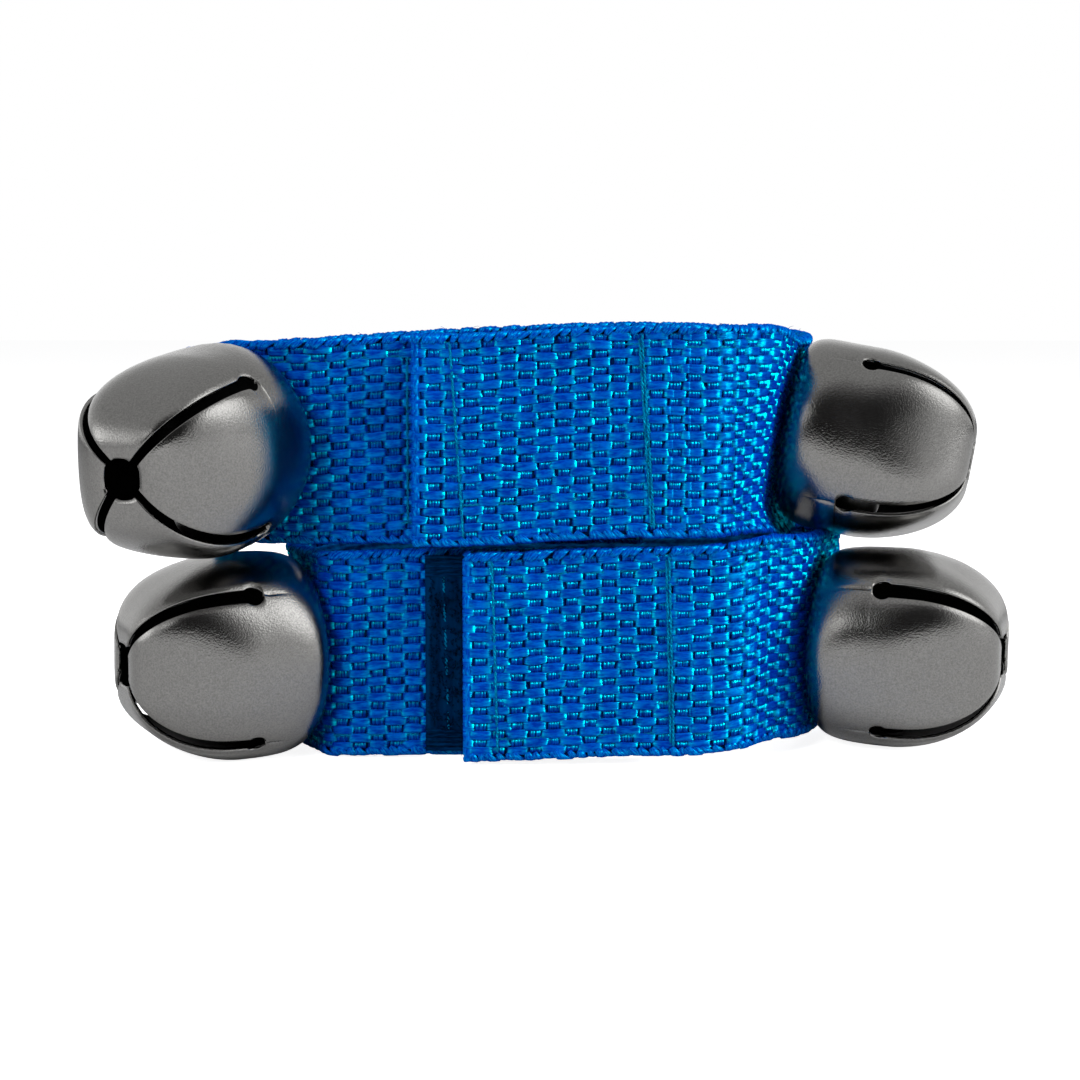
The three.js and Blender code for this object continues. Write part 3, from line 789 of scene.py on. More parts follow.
def edge_rings(strap):
    """Rings of the leaves on both edges: each goes round the edge as an arc, slants along it and narrows
    to its tips as a parabola."""
    start = np.arange(EDGE_INSET, strap.length - EDGE_INSET, EDGE_PITCH)
    start = np.tile(start, 2)[:, None]
    sign = np.repeat([-1.0, 1.0], len(start) // 2)[:, None]
    start = start + draw.uniform(-EDGE_JITTER, EDGE_JITTER, start.shape)
    turn = np.linspace(-1, 1, EDGE_RINGS)[None] * EDGE_WRAP
    size = draw.uniform(*EDGE_SIZES, start.shape)
    slant = draw.uniform(*EDGE_SLANTS, start.shape)
    out = EDGE_ROUND * size * np.sin(turn)
    lift = WEBBING_WIDTH / 2 - EDGE_THICK / 2 - EDGE_ROUND + EDGE_ROUND * size * np.cos(turn)
    along = np.clip(start + slant * turn / 2, EDGE_END, strap.length - EDGE_END)
    away = np.stack([0 * out, np.sin(turn) + 0 * out, sign * np.cos(turn)], -1)
    width = EDGE_WIDTH * size * (1 - EDGE_TAPER * (turn / turn.max()) ** 2)
    rings = strand(np.stack([along, out, sign * lift], -1), width, EDGE_THICK, EDGE_SIDES, over=away)
    return rings, 2 * turn, start[:, 0], 0 * turn


def fuzz_rings(strap):
    """Loose filaments that stand out of both edges: each leaves its foot in a random direction and
    curls over as a parabola."""
    t = np.linspace(0, 1, 6)[None]
    each = (FUZZ, 1)
    start = draw.uniform(FUZZ_INSET, strap.length - FUZZ_INSET, each)
    sign = draw.choice([-1.0, 1.0], each)
    reach = draw.uniform(*FUZZ_REACH, each)
    along = start + draw.uniform(*FUZZ_DRIFT, each) * t
    out = draw.uniform(*FUZZ_ROOT, each) + draw.uniform(*FUZZ_LEAN, each) * t ** 2
    curl = 2 * t - draw.uniform(*FUZZ_CURL, each) * t ** 2
    lift = WEBBING_WIDTH / 2 - FUZZ_ROOT_DEPTH + reach * curl
    centre = np.stack([along, out, sign * lift], -1)
    rings = strand(centre, FUZZ_THREAD, FUZZ_THREAD, 4, over=FUZZ_OVER)
    return rings, 2 * t, start[:, 0], 0 * t


print("leaves to a centimetre of edge:", round(10 / EDGE_PITCH, 1))

# %% Core and cut ends
CORE_THICK = 0.3
CORE_INSET = 0.3
CORE_MARGIN = 0.9
STRIP_SIDES = 12
STRIP_ROUNDNESS = 0.25
BEAD_INSET = 0.42
BEAD_MARGIN = 0.15
BEAD_WIDTH = 0.9
BEAD_THICK = 1.3
BEAD_RINGS = 90
BEAD_WOBBLES = ((0.05, 2.1), (0.03, 0.9))


def core_rings(strap):
    """The straight yarns inside the weave, as one thin flat strip that closes its gaps; its near-black
    dye is painted shade for the depths of the weave.
    """
    along = np.linspace(CORE_INSET, strap.length - CORE_INSET, int(strap.length) + 1)[None]
    centre = np.stack([along, 0 * along, 0 * along], -1)
    rings = strand(centre, WEBBING_WIDTH - CORE_MARGIN, CORE_THICK, STRIP_SIDES, STRIP_ROUNDNESS)
    return rings, along, 0 * along


def bead_rings(along):
    """The melted cut across the strap: a flattened bead whose place and size wobble along it."""
    up = np.linspace(-1, 1, BEAD_RINGS)[None] * (WEBBING_WIDTH / 2 - BEAD_MARGIN)
    wobble = sum(waver(1, up, *wander) for wander in BEAD_WOBBLES)
    centre = np.stack([along + wobble, 0.5 * wobble, up], -1)
    return strand(centre, BEAD_WIDTH + 2 * wobble, BEAD_THICK + 2 * wobble, 8, 0.8), up


print("core", round(WEBBING_WIDTH - CORE_MARGIN, 1), "mm wide")

# %% [markdown]
# ### Yarns on the bands
# The flap is part of the same strap, so the yarns are made in one go and cut in two a little before the
# line it peels back on. The loop's half rides on the band. The flap's half stays where it lies, its
# transform baked into its mesh.

# %% Put the yarns on the bands
FLAP_START = 2.0  # the flap's yarns start about this far before the peel line
PEEL_START = -0.5
PEEL_END = 5.0


def add_strap_piece(name, strap, skin, material, slot, on_flap=False):
    """A skin in strap coordinates put in place; on the flap its transform is baked in, else it rides."""
    points, faces, uv = skin
    piece = new_piece(f"{strap.band}_{name}", strap.place(points), faces, yarns[material], slot, uv)
    if on_flap:
        bend = np.array([[strap.hinge + PEEL_START, 0, 0], [strap.hinge + PEEL_END, 0, 0]])
        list(strap.place(bend) * MM)
        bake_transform(piece)
    else:
        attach(piece, f"{strap.band}_band")
    return piece


def add_yarns(name, strap, rings, lengths, bend, material, on_flap):
    """Yarns of the webbing, with how far each ring is turning down as an attribute of its points."""
    prefix = "flap_" if on_flap else ""
    piece = add_strap_piece(prefix + name, strap, tubes(rings, lengths), material, "webbing", on_flap)
    values = np.repeat(bend, rings.shape[2]).astype(np.float32)
    piece.data.attributes.new("bend", "FLOAT", "POINT").data.foreach_set("value", values)
    return piece


def add_split_yarns(name, strap, rings, lengths, bend, material):
    """Lengthwise yarns cut in two at the flap's start; both halves keep the ring they share."""
    cut = int(np.searchsorted(lengths[0], strap.hinge - FLAP_START))
    return [add_yarns(name, strap, rings[:, part], lengths[:, part], bend[:, part], material, on_flap)
            for on_flap, part in ((False, slice(None, cut + 1)), (True, slice(cut, None)))]


for band, strap in straps.items():
    loop, flap = add_split_yarns("warp_yarns", strap, *warp_rings(strap), "blue_yarn")
    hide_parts(f"{band}_webbing")
    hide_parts(f"{band}_flap_webbing")
    add_split_yarns("core_yarns", strap, *core_rings(strap), "core_yarn")
    for name, material, (rings, lengths, places, bend) in [
            ("weft_yarns", "weft_yarn", weft_rings(strap)), ("edge_yarns", "edge_yarn", edge_rings(strap)),
            ("edge_fuzz", "edge_yarn", fuzz_rings(strap))]:
        beyond = places > strap.hinge - FLAP_START
        lengths = np.broadcast_to(lengths, rings.shape[:2])
        bend = np.broadcast_to(bend, rings.shape[:2])
        for on_flap, part in ((False, ~beyond), (True, beyond)):
            add_yarns(name, strap, rings[part], lengths[part], bend[part], material, on_flap)
    add_strap_piece("cut_bead", strap, tubes(*bead_rings(BEAD_INSET)), "edge_yarn", "webbing")
    flap_bead = tubes(*bead_rings(strap.length - BEAD_INSET))
    add_strap_piece("flap_cut_bead", strap, flap_bead, "edge_yarn", "webbing", on_flap=True)

# %% [markdown]
# ## Hook and loop
# The loop tape is a thin ribbon with ribbed edges and a mat of small arches, the hook tape a ribbon with
# rows of little crooks. Both close the flap, and a strip of the pile shows beside it on the lower band,
# its near-black dye partly the tape's own colour and partly painted shadow of the flap's edge. Particle
# hair could make them too, but plain tubes export as they are.

# %% Hook and loop
OUTSIDE = FACE + LAYER_GAP
TAPE_WIDTH = 24.0
TAPE_BASE = 0.5
TAPE_SHOWS = {"lower": 1.4, "upper": 0.0}
PILE_LOOPS = 1500
PILE_THREAD = 0.13
PILE_SELVAGE = 2.8
PILE_MARGIN = 0.4
PILE_LEAN = 0.35
PILE_SINK = 0.1
PILE_STEP = (0.35, 0.9)
PILE_RISE = (0.55, 1.0)
PILE_OVER = (0.31, 0.2, 0.93)
SELVAGE_RIB = 0.55
SELVAGE_WIDTH = 0.5
SELVAGE_THICK = 0.4
SELVAGE_WANDER = (0.03, 1.1)
HOOK_PITCH = 1.35
HOOK_THREAD = 0.24
HOOK_ENDS = (1.2, 0.8)
HOOK_EDGES = (2, 1.5)
# The side view of a crook: how far it reaches over, in millimetres, and its rise as a share of the height.
CROOK_REACH = (0, 0, 0.12, 0.35, 0.58, 0.66)
CROOK_RISE = (0, 0.45, 0.8, 0.95, 0.9, 0.65)


def ribbon(span, low, high, width, step=1.0):
    """A flat closed strip over a span of the strap, between two depths."""
    along = np.linspace(*span, int((span[1] - span[0]) / step) + 2)[None]
    centre = np.stack([along, np.full_like(along, (low + high) / 2), 0 * along], -1)
    return tubes(strand(centre, width, high - low, STRIP_SIDES, STRIP_ROUNDNESS), along)


def pile_skin(span, low, high):
    """Small arches strewn over the tape: each rises as a half sine over a short random step and leans to
    one side."""
    t = np.linspace(0, 1, 7)[None]
    each = (PILE_LOOPS, 1)
    edge = TAPE_WIDTH / 2 - PILE_SELVAGE
    foot = draw.uniform([span[0] + PILE_MARGIN, -edge], [span[1] - PILE_MARGIN, edge], (PILE_LOOPS, 2))
    angle = draw.uniform(0, 2 * np.pi, each)
    reach = draw.uniform(*PILE_STEP, each) * (t - 0.5)
    rise = (high - low - PILE_THREAD) * draw.uniform(*PILE_RISE, each) * np.sin(np.pi * t)
    lean = PILE_LEAN * rise * draw.uniform(-1, 1, each)
    along = foot[:, :1] + reach * np.cos(angle) - lean * np.sin(angle)
    up = foot[:, 1:] + reach * np.sin(angle) + lean * np.cos(angle)
    centre = np.stack([along, low + rise, up], -1)
    return tubes(strand(centre, PILE_THREAD, PILE_THREAD, 4, over=PILE_OVER), 2 * t)


def selvage_skin(span, depth):
    """Cords along both edges of the tape, a rib apart."""
    along = np.linspace(*span, 40)[None]
    place = np.arange(int(PILE_SELVAGE / SELVAGE_RIB)) * SELVAGE_RIB + SELVAGE_RIB / 2
    rows = np.concatenate([TAPE_WIDTH / 2 - place, place - TAPE_WIDTH / 2])[:, None]
    depths = depth + waver(len(rows), along, *SELVAGE_WANDER)
    centre = np.stack([along + 0 * depths, depths, rows + 0 * depths], -1)
    return tubes(strand(centre, SELVAGE_WIDTH, SELVAGE_THICK, 6), along)


def hook_skin(span, low, high):
    """Rows of crooks: up the stem, then three quarters of a turn over, alternate rows facing apart."""
    along = np.arange(span[0] + HOOK_ENDS[0], span[1] - HOOK_ENDS[1], HOOK_PITCH)
    up = np.arange(-TAPE_WIDTH / 2 + HOOK_EDGES[0], TAPE_WIDTH / 2 - HOOK_EDGES[1], HOOK_PITCH)
    foot = np.stack(np.meshgrid(along, up, indexing="ij"), -1).reshape(-1, 1, 2)
    side = np.where(np.arange(len(foot)) % 2 == 0, 1.0, -1.0)[:, None]
    rise = np.array([CROOK_RISE]) * (high - low - HOOK_THREAD / 2)
    reach = np.array([CROOK_REACH])
    crook = [foot[..., 0] + side * reach, high - rise + 0 * foot[..., 0], foot[..., 1] + 0 * reach]
    centre = np.stack(crook, -1)
    return tubes(strand(centre, HOOK_THREAD, HOOK_THREAD, 4, over=(0.0, 0.0, 1.0)), rise)


print("arches on a tape:", PILE_LOOPS)

# %% [markdown]
# ## Lining and stitches
# The lining is one closed strip with fine ribs inside the loop. Stitches are two plies twisted round each
# other that lie on the cloth and dive into it at every needle hole. They are made as straight runs in the
# strap's own coordinates, and the strap's line bends them.

# %% Lining and stitches
LINING_WIDTH = 22.5
LINING_THICK = 1.0
LINING_RIB = 0.8
LINING_RELIEF = 0.12
LINING_EDGE = 0.15
LINING_SQUARENESS = 24
SEAM_INSET = 1.2
STITCH = 3.6
STITCH_DIVE = 0.45
STITCH_BLUNTNESS = 0.35
PLY_THICK = 0.19
PLY_TWIST = 1.2
CROSS_SEAM_DEPTH = 0.68
LONG_SEAM_DEPTH = 0.44
FLAP_SEAM_INSET = 1.0
SECOND_ROW_STEP = 0.35
SECOND_ROW_ENDS = (0.5, 0.6)
TAPE_SEAM_INSET = 1.4
TAPE_SEAM_SLANT = 0.6
TAPE_SEAM_SINK = 0.05
END_SEAM_INSET = 0.8


def lining_skin(span):
    """A closed strip whose ribs run along it: its depth is a sine across the width, and it thins at its
    edges."""
    along = np.linspace(*span, int(span[1] - span[0]))[None, :, None]
    ribs = int(LINING_WIDTH / LINING_RIB)
    up = np.linspace(-LINING_WIDTH / 2, LINING_WIDTH / 2, 4 * ribs + 1)
    relief = LINING_RELIEF * np.cos(2 * np.pi * up / LINING_RIB)
    edge = np.sqrt(np.clip(1 - np.abs(2 * up / LINING_WIDTH) ** LINING_SQUARENESS, 0, 1))
    half_thick = (LINING_THICK / 2 - LINING_RELIEF + relief) * (edge * (1 - LINING_EDGE) + LINING_EDGE)
    ring_up = np.concatenate([up, up[::-1]])
    ring_out = np.concatenate([half_thick, -half_thick]) - OUTSIDE - LINING_THICK / 2
    grid = np.stack(np.broadcast_arrays(along, ring_out, ring_up), -1)
    return tubes(grid[:, :, ::-1], along[..., 0])


def stitch_skin(start, end, depth):
    """One straight run of sewing: the thread's height over the cloth is a blunt half sine per stitch,
    and its two plies wind round the line half a turn apart."""
    start, end = np.array(start), np.array(end)
    length = np.linalg.norm(end - start)
    count = max(1, round(length / STITCH))
    t = np.linspace(0, 1, 12 * count + 1)[None]
    ahead = (end - start) / length
    lift = depth - STITCH_DIVE + STITCH_DIVE * np.abs(np.sin(np.pi * count * t)) ** STITCH_BLUNTNESS
    turn = 2 * np.pi * t * length / PLY_TWIST + np.pi * np.arange(2)[:, None]
    swing = PLY_THICK / 2 * np.cos(turn)
    along = start[0] + t * (end[0] - start[0]) - ahead[1] * swing
    up = start[1] + t * (end[1] - start[1]) + ahead[0] * swing
    centre = np.stack([along, lift + PLY_THICK / 2 * np.sin(turn), up], -1)
    over = (0.0, 1.0, 0.0) if abs(ahead[0]) > 0.5 else (1.0, 0.0, 0.0)
    return tubes(strand(centre, PLY_THICK, PLY_THICK, 6, over=over), t * length)


def flap_stitches(strap):
    """The flap's box seam: two slanting cross runs, a second row at the root and two long runs."""
    low, high = FLAP_SEAM[strap.band]["rows"]
    slant = FLAP_SEAM[strap.band]["slant"]
    root, end = flap_seam_lines(strap)

    def across(line, foot, head):
        """A cross run from one height to another."""
        return (line + slant * foot / WEBBING_WIDTH, foot), (line + slant * head / WEBBING_WIDTH, head)

    edge = WEBBING_WIDTH / 2 - FLAP_SEAM_INSET
    second_row = across(root + SECOND_ROW_STEP, SECOND_ROW_ENDS[0] - edge, edge - SECOND_ROW_ENDS[1])
    runs = [across(root, -edge, edge), second_row, across(end, -edge, edge)]
    long_runs = [((root, low), (end, low)), ((end, high), (root, high))]
    return joined(*[stitch_skin(*run, CROSS_SEAM_DEPTH) for run in runs],
                  *[stitch_skin(*run, LONG_SEAM_DEPTH) for run in long_runs])


def lining_stitches(strap):
    """Two long runs that hold the lining, and one across the loop tape or beside the flap's edge."""
    edge = LINING_WIDTH / 2 - SEAM_INSET
    first, last = strap.lining[0] + SEAM_INSET, strap.lining[1] - SEAM_INSET
    runs = [stitch_skin((first, row), (last, row), LONG_SEAM_DEPTH) for row in (-edge, edge)]
    if strap.band == "lower":
        tape = strap.loop_tape[1] - TAPE_SEAM_INSET
        depth = OUTSIDE + TAPE_BASE - TAPE_SEAM_SINK
        runs.append(stitch_skin((tape, -edge), (tape + TAPE_SEAM_SLANT, edge), depth))
    else:
        line = first + END_SEAM_INSET
        runs.append(stitch_skin((line, -edge), (line, edge), CROSS_SEAM_DEPTH))
    return joined(*runs)


print("ribs of a lining:", int(LINING_WIDTH / LINING_RIB))

# %% Put tapes, lining and stitches on the bands
for band, strap in straps.items():
    span = (strap.loop_tape[0], strap.loop_tape[1] + TAPE_SHOWS[band])
    top = OUTSIDE + TAPE_BASE
    tape = ribbon(span, OUTSIDE, top, TAPE_WIDTH)
    selvage = selvage_skin(span, top)
    pile = pile_skin(span, top - PILE_SINK, OUTSIDE + LOOP_TAPE_THICK)
    piece = add_strap_piece("loop_pile", strap, joined(tape, selvage, pile), "pile_yarn_painted_shade", "loop_tape")
    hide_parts(f"{band}_loop_tape")
    backing = ribbon(strap.hook_tape, -top, -OUTSIDE, TAPE_WIDTH)
    hooks = hook_skin(strap.hook_tape, -OUTSIDE - HOOK_TAPE_THICK, PILE_SINK - top)
    piece = add_strap_piece("hooks", strap, joined(backing, hooks), "hook_yarn", "hook_tape", on_flap=True)
    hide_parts(f"{band}_hook_tape")
    piece = add_strap_piece("ribbed_lining", strap, lining_skin(strap.lining), "lining_yarn", "lining")
    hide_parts(f"{band}_lining")
    sewing = flap_stitches(strap)
    piece = add_strap_piece("flap_stitches", strap, sewing, "teal_thread", "thread", on_flap=True)
    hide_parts(f"{band}_flap_seam")
    piece = add_strap_piece("lining_stitches", strap, lining_stitches(strap), "teal_thread", "thread")
    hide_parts(f"{band}_lining_seam")

# %% [markdown]
# ## Bells
# A bell is one sheet of metal drawn into a cup, its mouth cut into four petals that are bent together.
# The grid runs from the rivet hole over the base and along the petals to the tip. Each petal has its
# own columns, and at each row the petal's edges stand back by half of the slot: nothing at the base, a
# round keyhole, then a slot that narrows to the tip. A hairline crack from the keyhole towards the base
# is a groove. Solidify gives the sheet its thickness inwards. The sheet turns in a little at its cut
# edges, and weighted normals keep them crisp, so that they catch the light.

# %% Bell line
BELL_RADIUS = 12.3
BELL_LENGTH = 22.9
BELL_WIDEST = 9.2
BASE_FLAT_RADIUS = 8.0
BASE_CURVE = 3.5
TIP_FLAT_RADIUS = 3.5
TIP_HOLE_RADIUS = 2.6
RIVET_HOLE_RADIUS = 1.85
KEYHOLE_AT = 9.3
KEYHOLE_RADIUS = 1.25
KEYHOLE_ROWS = 13
KEYHOLE_ROW_GAPS = (0.1, 0.2)
PLAIN_ROWS = 30
CURVE_POINTS = 40
SLOT_HALF = 0.92
SLOT_HALF_AT_TIP = 0.58


def bell_line():
    """Radius and distance along the axis from the rivet hole to the tip hole, close together round the
    keyhole: the base flat, a superellipse up the side, a quarter ellipse to the tip, the tip's flat."""
    flat = np.linspace(RIVET_HOLE_RADIUS, BASE_FLAT_RADIUS, 5)[:-1]
    angle = np.linspace(np.pi / 2, 0, CURVE_POINTS)
    side = BASE_FLAT_RADIUS + (BELL_RADIUS - BASE_FLAT_RADIUS) * np.cos(angle).clip(0) ** (2 / BASE_CURVE)
    depth = BELL_WIDEST * (1 - np.sin(angle) ** (2 / BASE_CURVE))
    angle = np.linspace(0, np.pi / 2, CURVE_POINTS)[1:]
    taper = TIP_FLAT_RADIUS + (BELL_RADIUS - TIP_FLAT_RADIUS) * np.cos(angle)
    rise = BELL_WIDEST + (BELL_LENGTH - BELL_WIDEST) * np.sin(angle)
    radius = np.concatenate([flat, side, taper, [TIP_HOLE_RADIUS]])
    along = np.concatenate([0 * flat, depth, rise, [BELL_LENGTH]])
    path = np.append(0, np.cumsum(np.hypot(np.diff(radius), np.diff(along))))
    keyhole = np.interp(KEYHOLE_AT, along, path)
    fine = keyhole + KEYHOLE_RADIUS * np.cos(np.linspace(np.pi, 0, KEYHOLE_ROWS))
    before = np.linspace(0, fine[0] - KEYHOLE_ROW_GAPS[0], PLAIN_ROWS)
    after = np.linspace(fine[-1] + KEYHOLE_ROW_GAPS[1], path[-1], PLAIN_ROWS)
    rows = np.concatenate([before, fine, after])
    return np.interp(rows, path, radius), np.interp(rows, path, along), rows - keyhole


def slot_half(from_keyhole):
    """Half of the slot's width at a distance past the keyhole's middle: the keyhole's circle, then a
    straight taper."""
    hole = np.sqrt(np.clip(KEYHOLE_RADIUS ** 2 - from_keyhole ** 2, 0, None))
    share = np.clip(from_keyhole / from_keyhole[-1], 0, 1)
    slot = (SLOT_HALF + (SLOT_HALF_AT_TIP - SLOT_HALF) * share) * (from_keyhole >= 0)
    return np.maximum(hole, slot)


print("rows of a bell:", len(bell_line()[0]))

# %% Bell skin
SHOULDER_SQUARENESS = 0.4
SHOULDER_SPAN = (1, 7)
TIP_SQUARENESS = 2.0
PETALS = 4
PETAL_COLUMNS = 21
COLUMN_CROWDING = 1.9
BEND_START = 1.0
BEND_PAST_TIP = 2.0
BEND_FULLNESS = 0.6
BEND_MEETING = 4
CRACK_HALF = 0.12
CRACK_DEPTH = 0.3
CRACK_FADE = 0.4
PARTING_REACH = 2.0
EDGE_TURN = 0.13
EDGE_TURN_REACH = 0.28
DENT = 0.04
DENT_TWIST = 0.25
DENT_SPAN = (1, 5)


def bell_skin(crack, bends, shifts):
    """Points and quads of a bell's outer face, axis along Z. Each petal spans a quarter turn less the
    slot; the round section is drawn towards a squarer one, its corners at the slots. A petal's bend
    swells as a blunt half sine from its root to its tip, and meets its neighbour's where they aren't
    parted; a petal bent in keeps half of that at its middle. Columns crowd at a petal's edges, where the
    sheet turns in over the slot, or dips into the hairline crack between the keyhole and the base."""
    radius, along, past = bell_line()
    gap = slot_half(past)
    radius, along, past, half = (row[:, None, None] for row in (radius, along, past, gap))
    power = 2 + SHOULDER_SQUARENESS * smooth_step(along, *SHOULDER_SPAN)
    power = power + TIP_SQUARENESS * smooth_step(along, BELL_WIDEST, BELL_LENGTH)
    slots = np.radians(shifts)[:, None]
    before = np.roll(slots, 1, axis=0)
    quarter = np.pi / PETALS + (slots - before) / 2 - np.arcsin(half / radius)
    share = np.linspace(-1, 1, PETAL_COLUMNS)
    share = np.sign(share) * (1 - (1 - np.abs(share)) ** COLUMN_CROWDING)
    angle = share * quarter + np.arange(PETALS)[:, None] * np.pi / 2 + (slots + before) / 2
    reach = (np.abs(np.cos(angle)) ** power + np.abs(np.sin(angle)) ** power) ** (-1 / power)
    stretch = reach * 2 ** (-(0.5 - 1 / power) / 2)
    rise = np.clip((along - BEND_START) / (BELL_LENGTH + BEND_PAST_TIP - BEND_START), 0, 1)
    torn = np.clip((past + KEYHOLE_RADIUS + crack) / crack, 0, 1)
    parted = smooth_step(past, -KEYHOLE_RADIUS - crack, KEYHOLE_RADIUS + PARTING_REACH)
    first, last = np.array(bends).T[..., None]
    own = first + (last - first) * (share + 1) / 2
    own = np.where(own < 0, own * (1 + share ** 2) / 2, own)
    step = np.where(share > 0, np.roll(first, -1, axis=0) - last, np.roll(last, 1, axis=0) - first)
    bent = own + step / 2 * np.abs(share) ** BEND_MEETING * (1 - parted)
    bent = bent * np.sin(np.pi * rise) ** BEND_FULLNESS
    phase = draw.uniform(0, 2 * np.pi, 3)
    dents = sum(np.sin(k * angle + along * DENT_TWIST * (k - 3) + phase[k - 2]) for k in (2, 3, 4))
    from_edge = (1 - np.abs(share)) * quarter * radius
    turned_in = EDGE_TURN * np.exp(-(from_edge / EDGE_TURN_REACH) ** 2) * (half > 0)
    clear = smooth_step(-past, KEYHOLE_RADIUS, KEYHOLE_RADIUS + CRACK_FADE) * (half <= 0)
    groove = CRACK_DEPTH * torn * clear * np.exp(-(from_edge / CRACK_HALF) ** 2)
    out = radius * stretch + bent + DENT * dents * smooth_step(along, *DENT_SPAN) - turned_in - groove
    points = np.stack([out * np.cos(angle), out * np.sin(angle), along + 0 * angle], -1).reshape(-1, 3)
    number = np.arange(angle.size).reshape(angle.shape)
    closed = gap <= 0
    number[closed, :, -1] = np.roll(number[:, :, 0], -1, axis=1)[closed]
    quads = np.stack([number[:-1, :, :-1], number[:-1, :, 1:], number[1:, :, 1:], number[1:, :, :-1]], -1)
    used, faces = np.unique(quads.reshape(-1, 4), return_inverse=True)
    return points[used], faces.reshape(-1, 4)


print("columns of a bell:", PETALS * PETAL_COLUMNS)

# %% [markdown]
# ## Nickel and steel
# The bells are plated and lightly satin: a clear but soft mirror with a fine grain that sparkles. The
# base colour is the metal's, the room does the rest. The inside is nearly black, as it is in the
# photograph: that is painted shade on the inner face of the sheet. Steel is duller.

# %% Nickel and steel
GRAIN_SCALE = 4800.0
POLISH_SCALE = 160.0
POLISH_LEVELS = (0.3, 0.7)
POLISH_SPREAD = (-0.04, 0.05)
SPECK_LEVELS = (0.3, 0.7)
SPECK_SHADES = (0.82, 1.18)


def metal_material(name, colour, roughness, grain):
    """Satin metal: a fine grain that sparkles, darker and brighter specks, and slightly uneven polish."""
    material, tree, shader = new_material(name, Metallic=1.0)
    here = add_node(tree, "ShaderNodeTexCoord").outputs["Object"]
    fine = noise(tree, here, GRAIN_SCALE)
    spread = [roughness + step for step in POLISH_SPREAD]
    polish = map_range(tree, noise(tree, here, POLISH_SCALE), POLISH_LEVELS, spread)
    tree.links.new(polish, shader.inputs["Roughness"])
    shades = [shade * np.array(colour) for shade in SPECK_SHADES]
    tree.links.new(ramp(tree, fine, list(zip(SPECK_LEVELS, shades))), shader.inputs["Base Color"])
    bump(tree, shader, fine, 1.0, grain)
    return material


nickel = metal_material("satin_nickel", (0.245, 0.242, 0.235), 0.17, 0.03)
# The inner face of the sheet is painted near black: painted shade for the inside of the cup.
inside = metal_material("bell_inside_painted_shade", (0.02, 0.02, 0.02), 0.6, 0.006)
steel = metal_material("dull_steel", (0.3, 0.3, 0.3), 0.4, 0.006)
print("metals:", nickel.name, inside.name, steel.name)

# %% [markdown]
# ## Turned pieces
# The pellet, the rivet and the washer are round about the bell's axis, so each is a profile carried round
# it. Quadratic curves round the corners of a profile. Every piece is worked out on the Z axis and then
# turned and moved to its bell by the directions of the bell's joints.

# %% Turned pieces
# Pairs of radius and height, from the inner end of the rivet outwards.
RIVET_PROFILE = [
    (0.3, -4.9), (2.2, -4.9), (2.8, -4.3), (1.6, -4.25), (1.6, 1.1), (3.6, 1.1), (2.8, 2.0), (0.3, 2.0)]
WASHER_PROFILE = [(0.3, -3.95), (4.0, -3.95), (4.0, -3.4), (0.3, -3.4)]
PELLET_RADIUS = 3.45
PELLET_DROP = 7.55
PELLET_ROWS = 30
PELLET_CAP = 0.98  # the ball's rows end just short of its poles, where flat caps close it


def lathe(profile, sides=48):
    """A turned piece from pairs of radius and height, bottom first, capped at both ends."""
    radius, height = np.array(profile, float).T[..., None]
    turn = -2 * np.pi * np.arange(sides) / sides
    grid = np.stack([radius * np.cos(turn), radius * np.sin(turn), height + 0 * turn], -1)
    return tubes(grid[None], height.T)


def rounded(profile, step=6):
    """A profile with its corners rounded: points of a quadratic curve through each corner."""
    spots = np.array(profile, float)
    middle = (spots[1:] + spots[:-1]) / 2
    t = np.linspace(0, 1, step)[None, :, None]
    curve = (1 - t) ** 2 * middle[:-1, None] + 2 * t * (1 - t) * spots[1:-1, None] + t ** 2 * middle[1:, None]
    return np.concatenate([spots[:1], curve.reshape(-1, 2), spots[-1:]])


def seat(name):
    """The bell's place: its base, and rows of X, Y and Z directions, from its joints."""
    turn = joints[f"{name}_bell_turn"]
    axis = unit(np.array(turn["axis"]))
    upward = unit(np.array(joints[f"{name}_pellet_rattle"]["axis"]))
    return np.array(turn["pos_m"]) / MM, np.stack([np.cross(upward, axis), upward, axis])


def add_turned(name, profile, place, material, slot, body, solid, middle=(0.0, 0.0, 0.0)):
    """A turned piece set on a bell's axis, or with its middle off it, riding on a body for a solid."""
    base, directions = place
    points, faces, _ = lathe(profile)
    piece = new_piece(name, (points + middle) @ directions + base, faces, material, slot)
    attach(piece, body)
    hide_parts(solid)


ball = np.linspace(-PELLET_CAP, PELLET_CAP, PELLET_ROWS) * np.pi / 2
PELLET_PROFILE = np.stack([PELLET_RADIUS * np.cos(ball), PELLET_RADIUS * np.sin(ball)], -1)
print("pellet", 2 * PELLET_RADIUS, "mm across")

# %% [markdown]
# ## Four bells
# All bells come from one die, but each was closed by hand: its petals are bent a little more or less and
# its cracks are longer or shorter. These tables were read off the photograph, bell by bell.

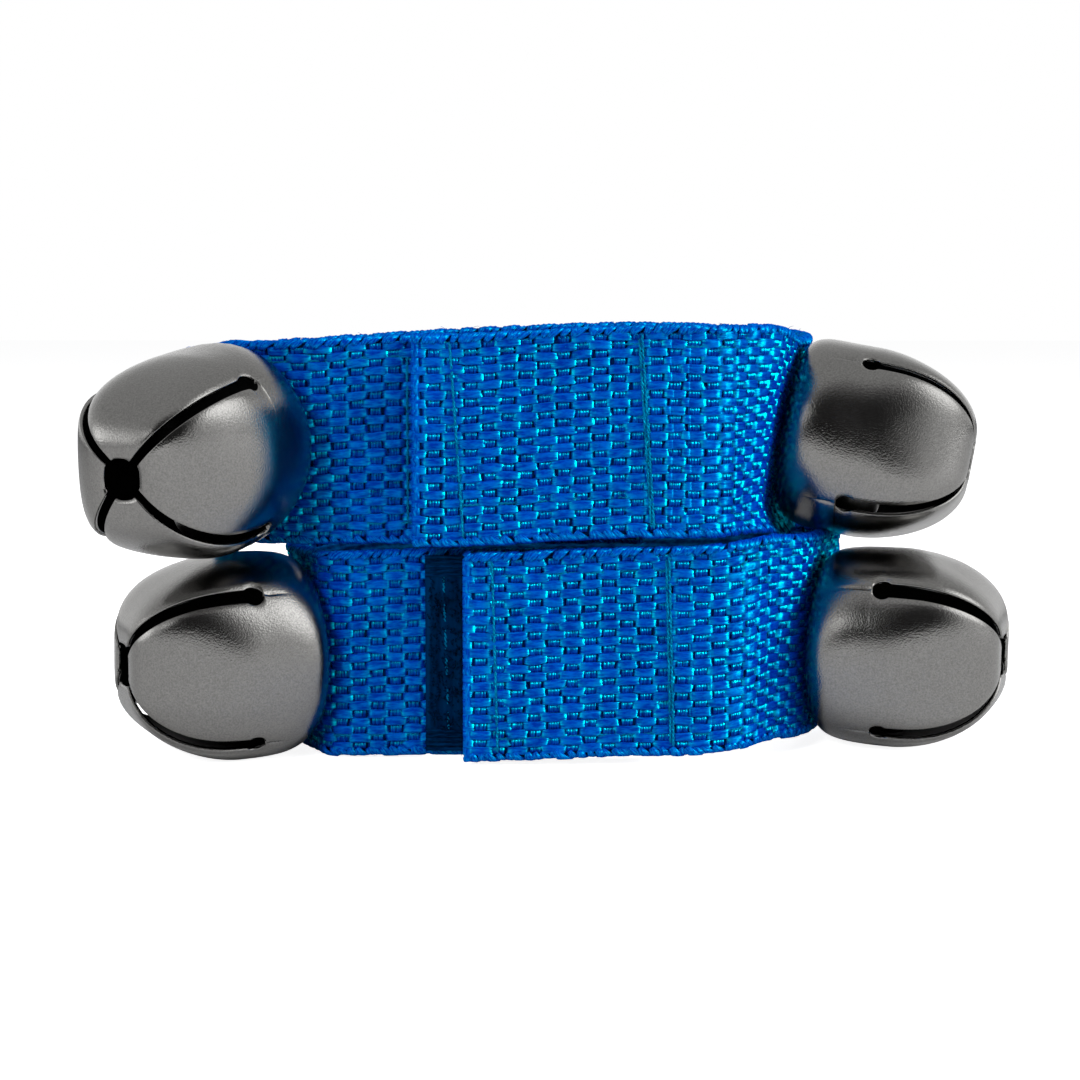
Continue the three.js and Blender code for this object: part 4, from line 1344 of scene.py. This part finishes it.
# %% Bells, pellets, rivets and washers
BELL_SHEET = 0.5
ROLL = {"lower_left": -4.3, "lower_right": 4.2, "upper_left": -2.4, "upper_right": -8.4}
CRACK = {"lower_left": 3.1, "lower_right": 4.6, "upper_left": 1.4, "upper_right": 4.0}
# How far each petal is bent out, or in, at its two edges: the petal towards X, the upper one, the one
# against X and the lower one.
PETAL_BEND = {
    "lower_left": ((0.3, 0.3), (0.3, 0.4), (0.4, 1.0), (1.2, 0.6)),
    "lower_right": ((0.2, 0.2), (0.3, 0.3), (0.0, 0.0), (0.35, 0.35)),
    "upper_left": ((0.2, 0.2), (-0.75, -0.75), (0.3, 1.4), (1.3, 0.5)),
    "upper_right": ((0.8, 0.4), (-0.4, -0.4), (0.0, 0.0), (0.0, 0.8)),
}
# How many degrees each slot is cut off its place, from the one between the first two petals on.
EVEN_SLOTS = (0, 0, 0, 0)
SLOT_SHIFT = {"upper_left": (0, 6, 7, 0)}

for name in [f"{band}_{side}" for band in BANDS for side in SIDES]:
    band = name.split("_")[0]
    base, directions = place = seat(name)
    points, faces = bell_skin(CRACK[name], PETAL_BEND[name], SLOT_SHIFT.get(name, EVEN_SLOTS))
    cos, sin = np.cos(np.radians(ROLL[name])), np.sin(np.radians(ROLL[name]))
    turned = points @ np.array([[cos, sin, 0], [-sin, cos, 0], [0, 0, 1]])
    shell = new_piece(f"{name}_bell", turned @ directions + base, faces, nickel, "nickel_plate")
    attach(shell, f"{name}_bell")
    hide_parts(f"{name}_bell_shell")
    sheet = shell.modifiers.new("sheet", "SOLIDIFY")
    sheet.thickness = BELL_SHEET * MM
    sheet.offset = -1
    # The inner face takes the near-black finish, painted shade inside the cup.
    shell.data.materials.append(inside)
    sheet.material_offset = 1
    shell.modifiers.new("crisp_edges", "WEIGHTED_NORMAL")

    add_turned(f"{name}_steel_pellet", PELLET_PROFILE, place, steel, "steel", f"{name}_pellet",
               f"{name}_pellet", middle=(0.0, -PELLET_DROP, BELL_WIDEST))
    add_turned(f"{name}_pin", rounded(RIVET_PROFILE), place, nickel, "nickel_plate", f"{band}_band",
               f"{name}_rivet")
    add_turned(f"{name}_ring", rounded(WASHER_PROFILE), place, steel, "steel", f"{band}_band",
               f"{name}_washer")
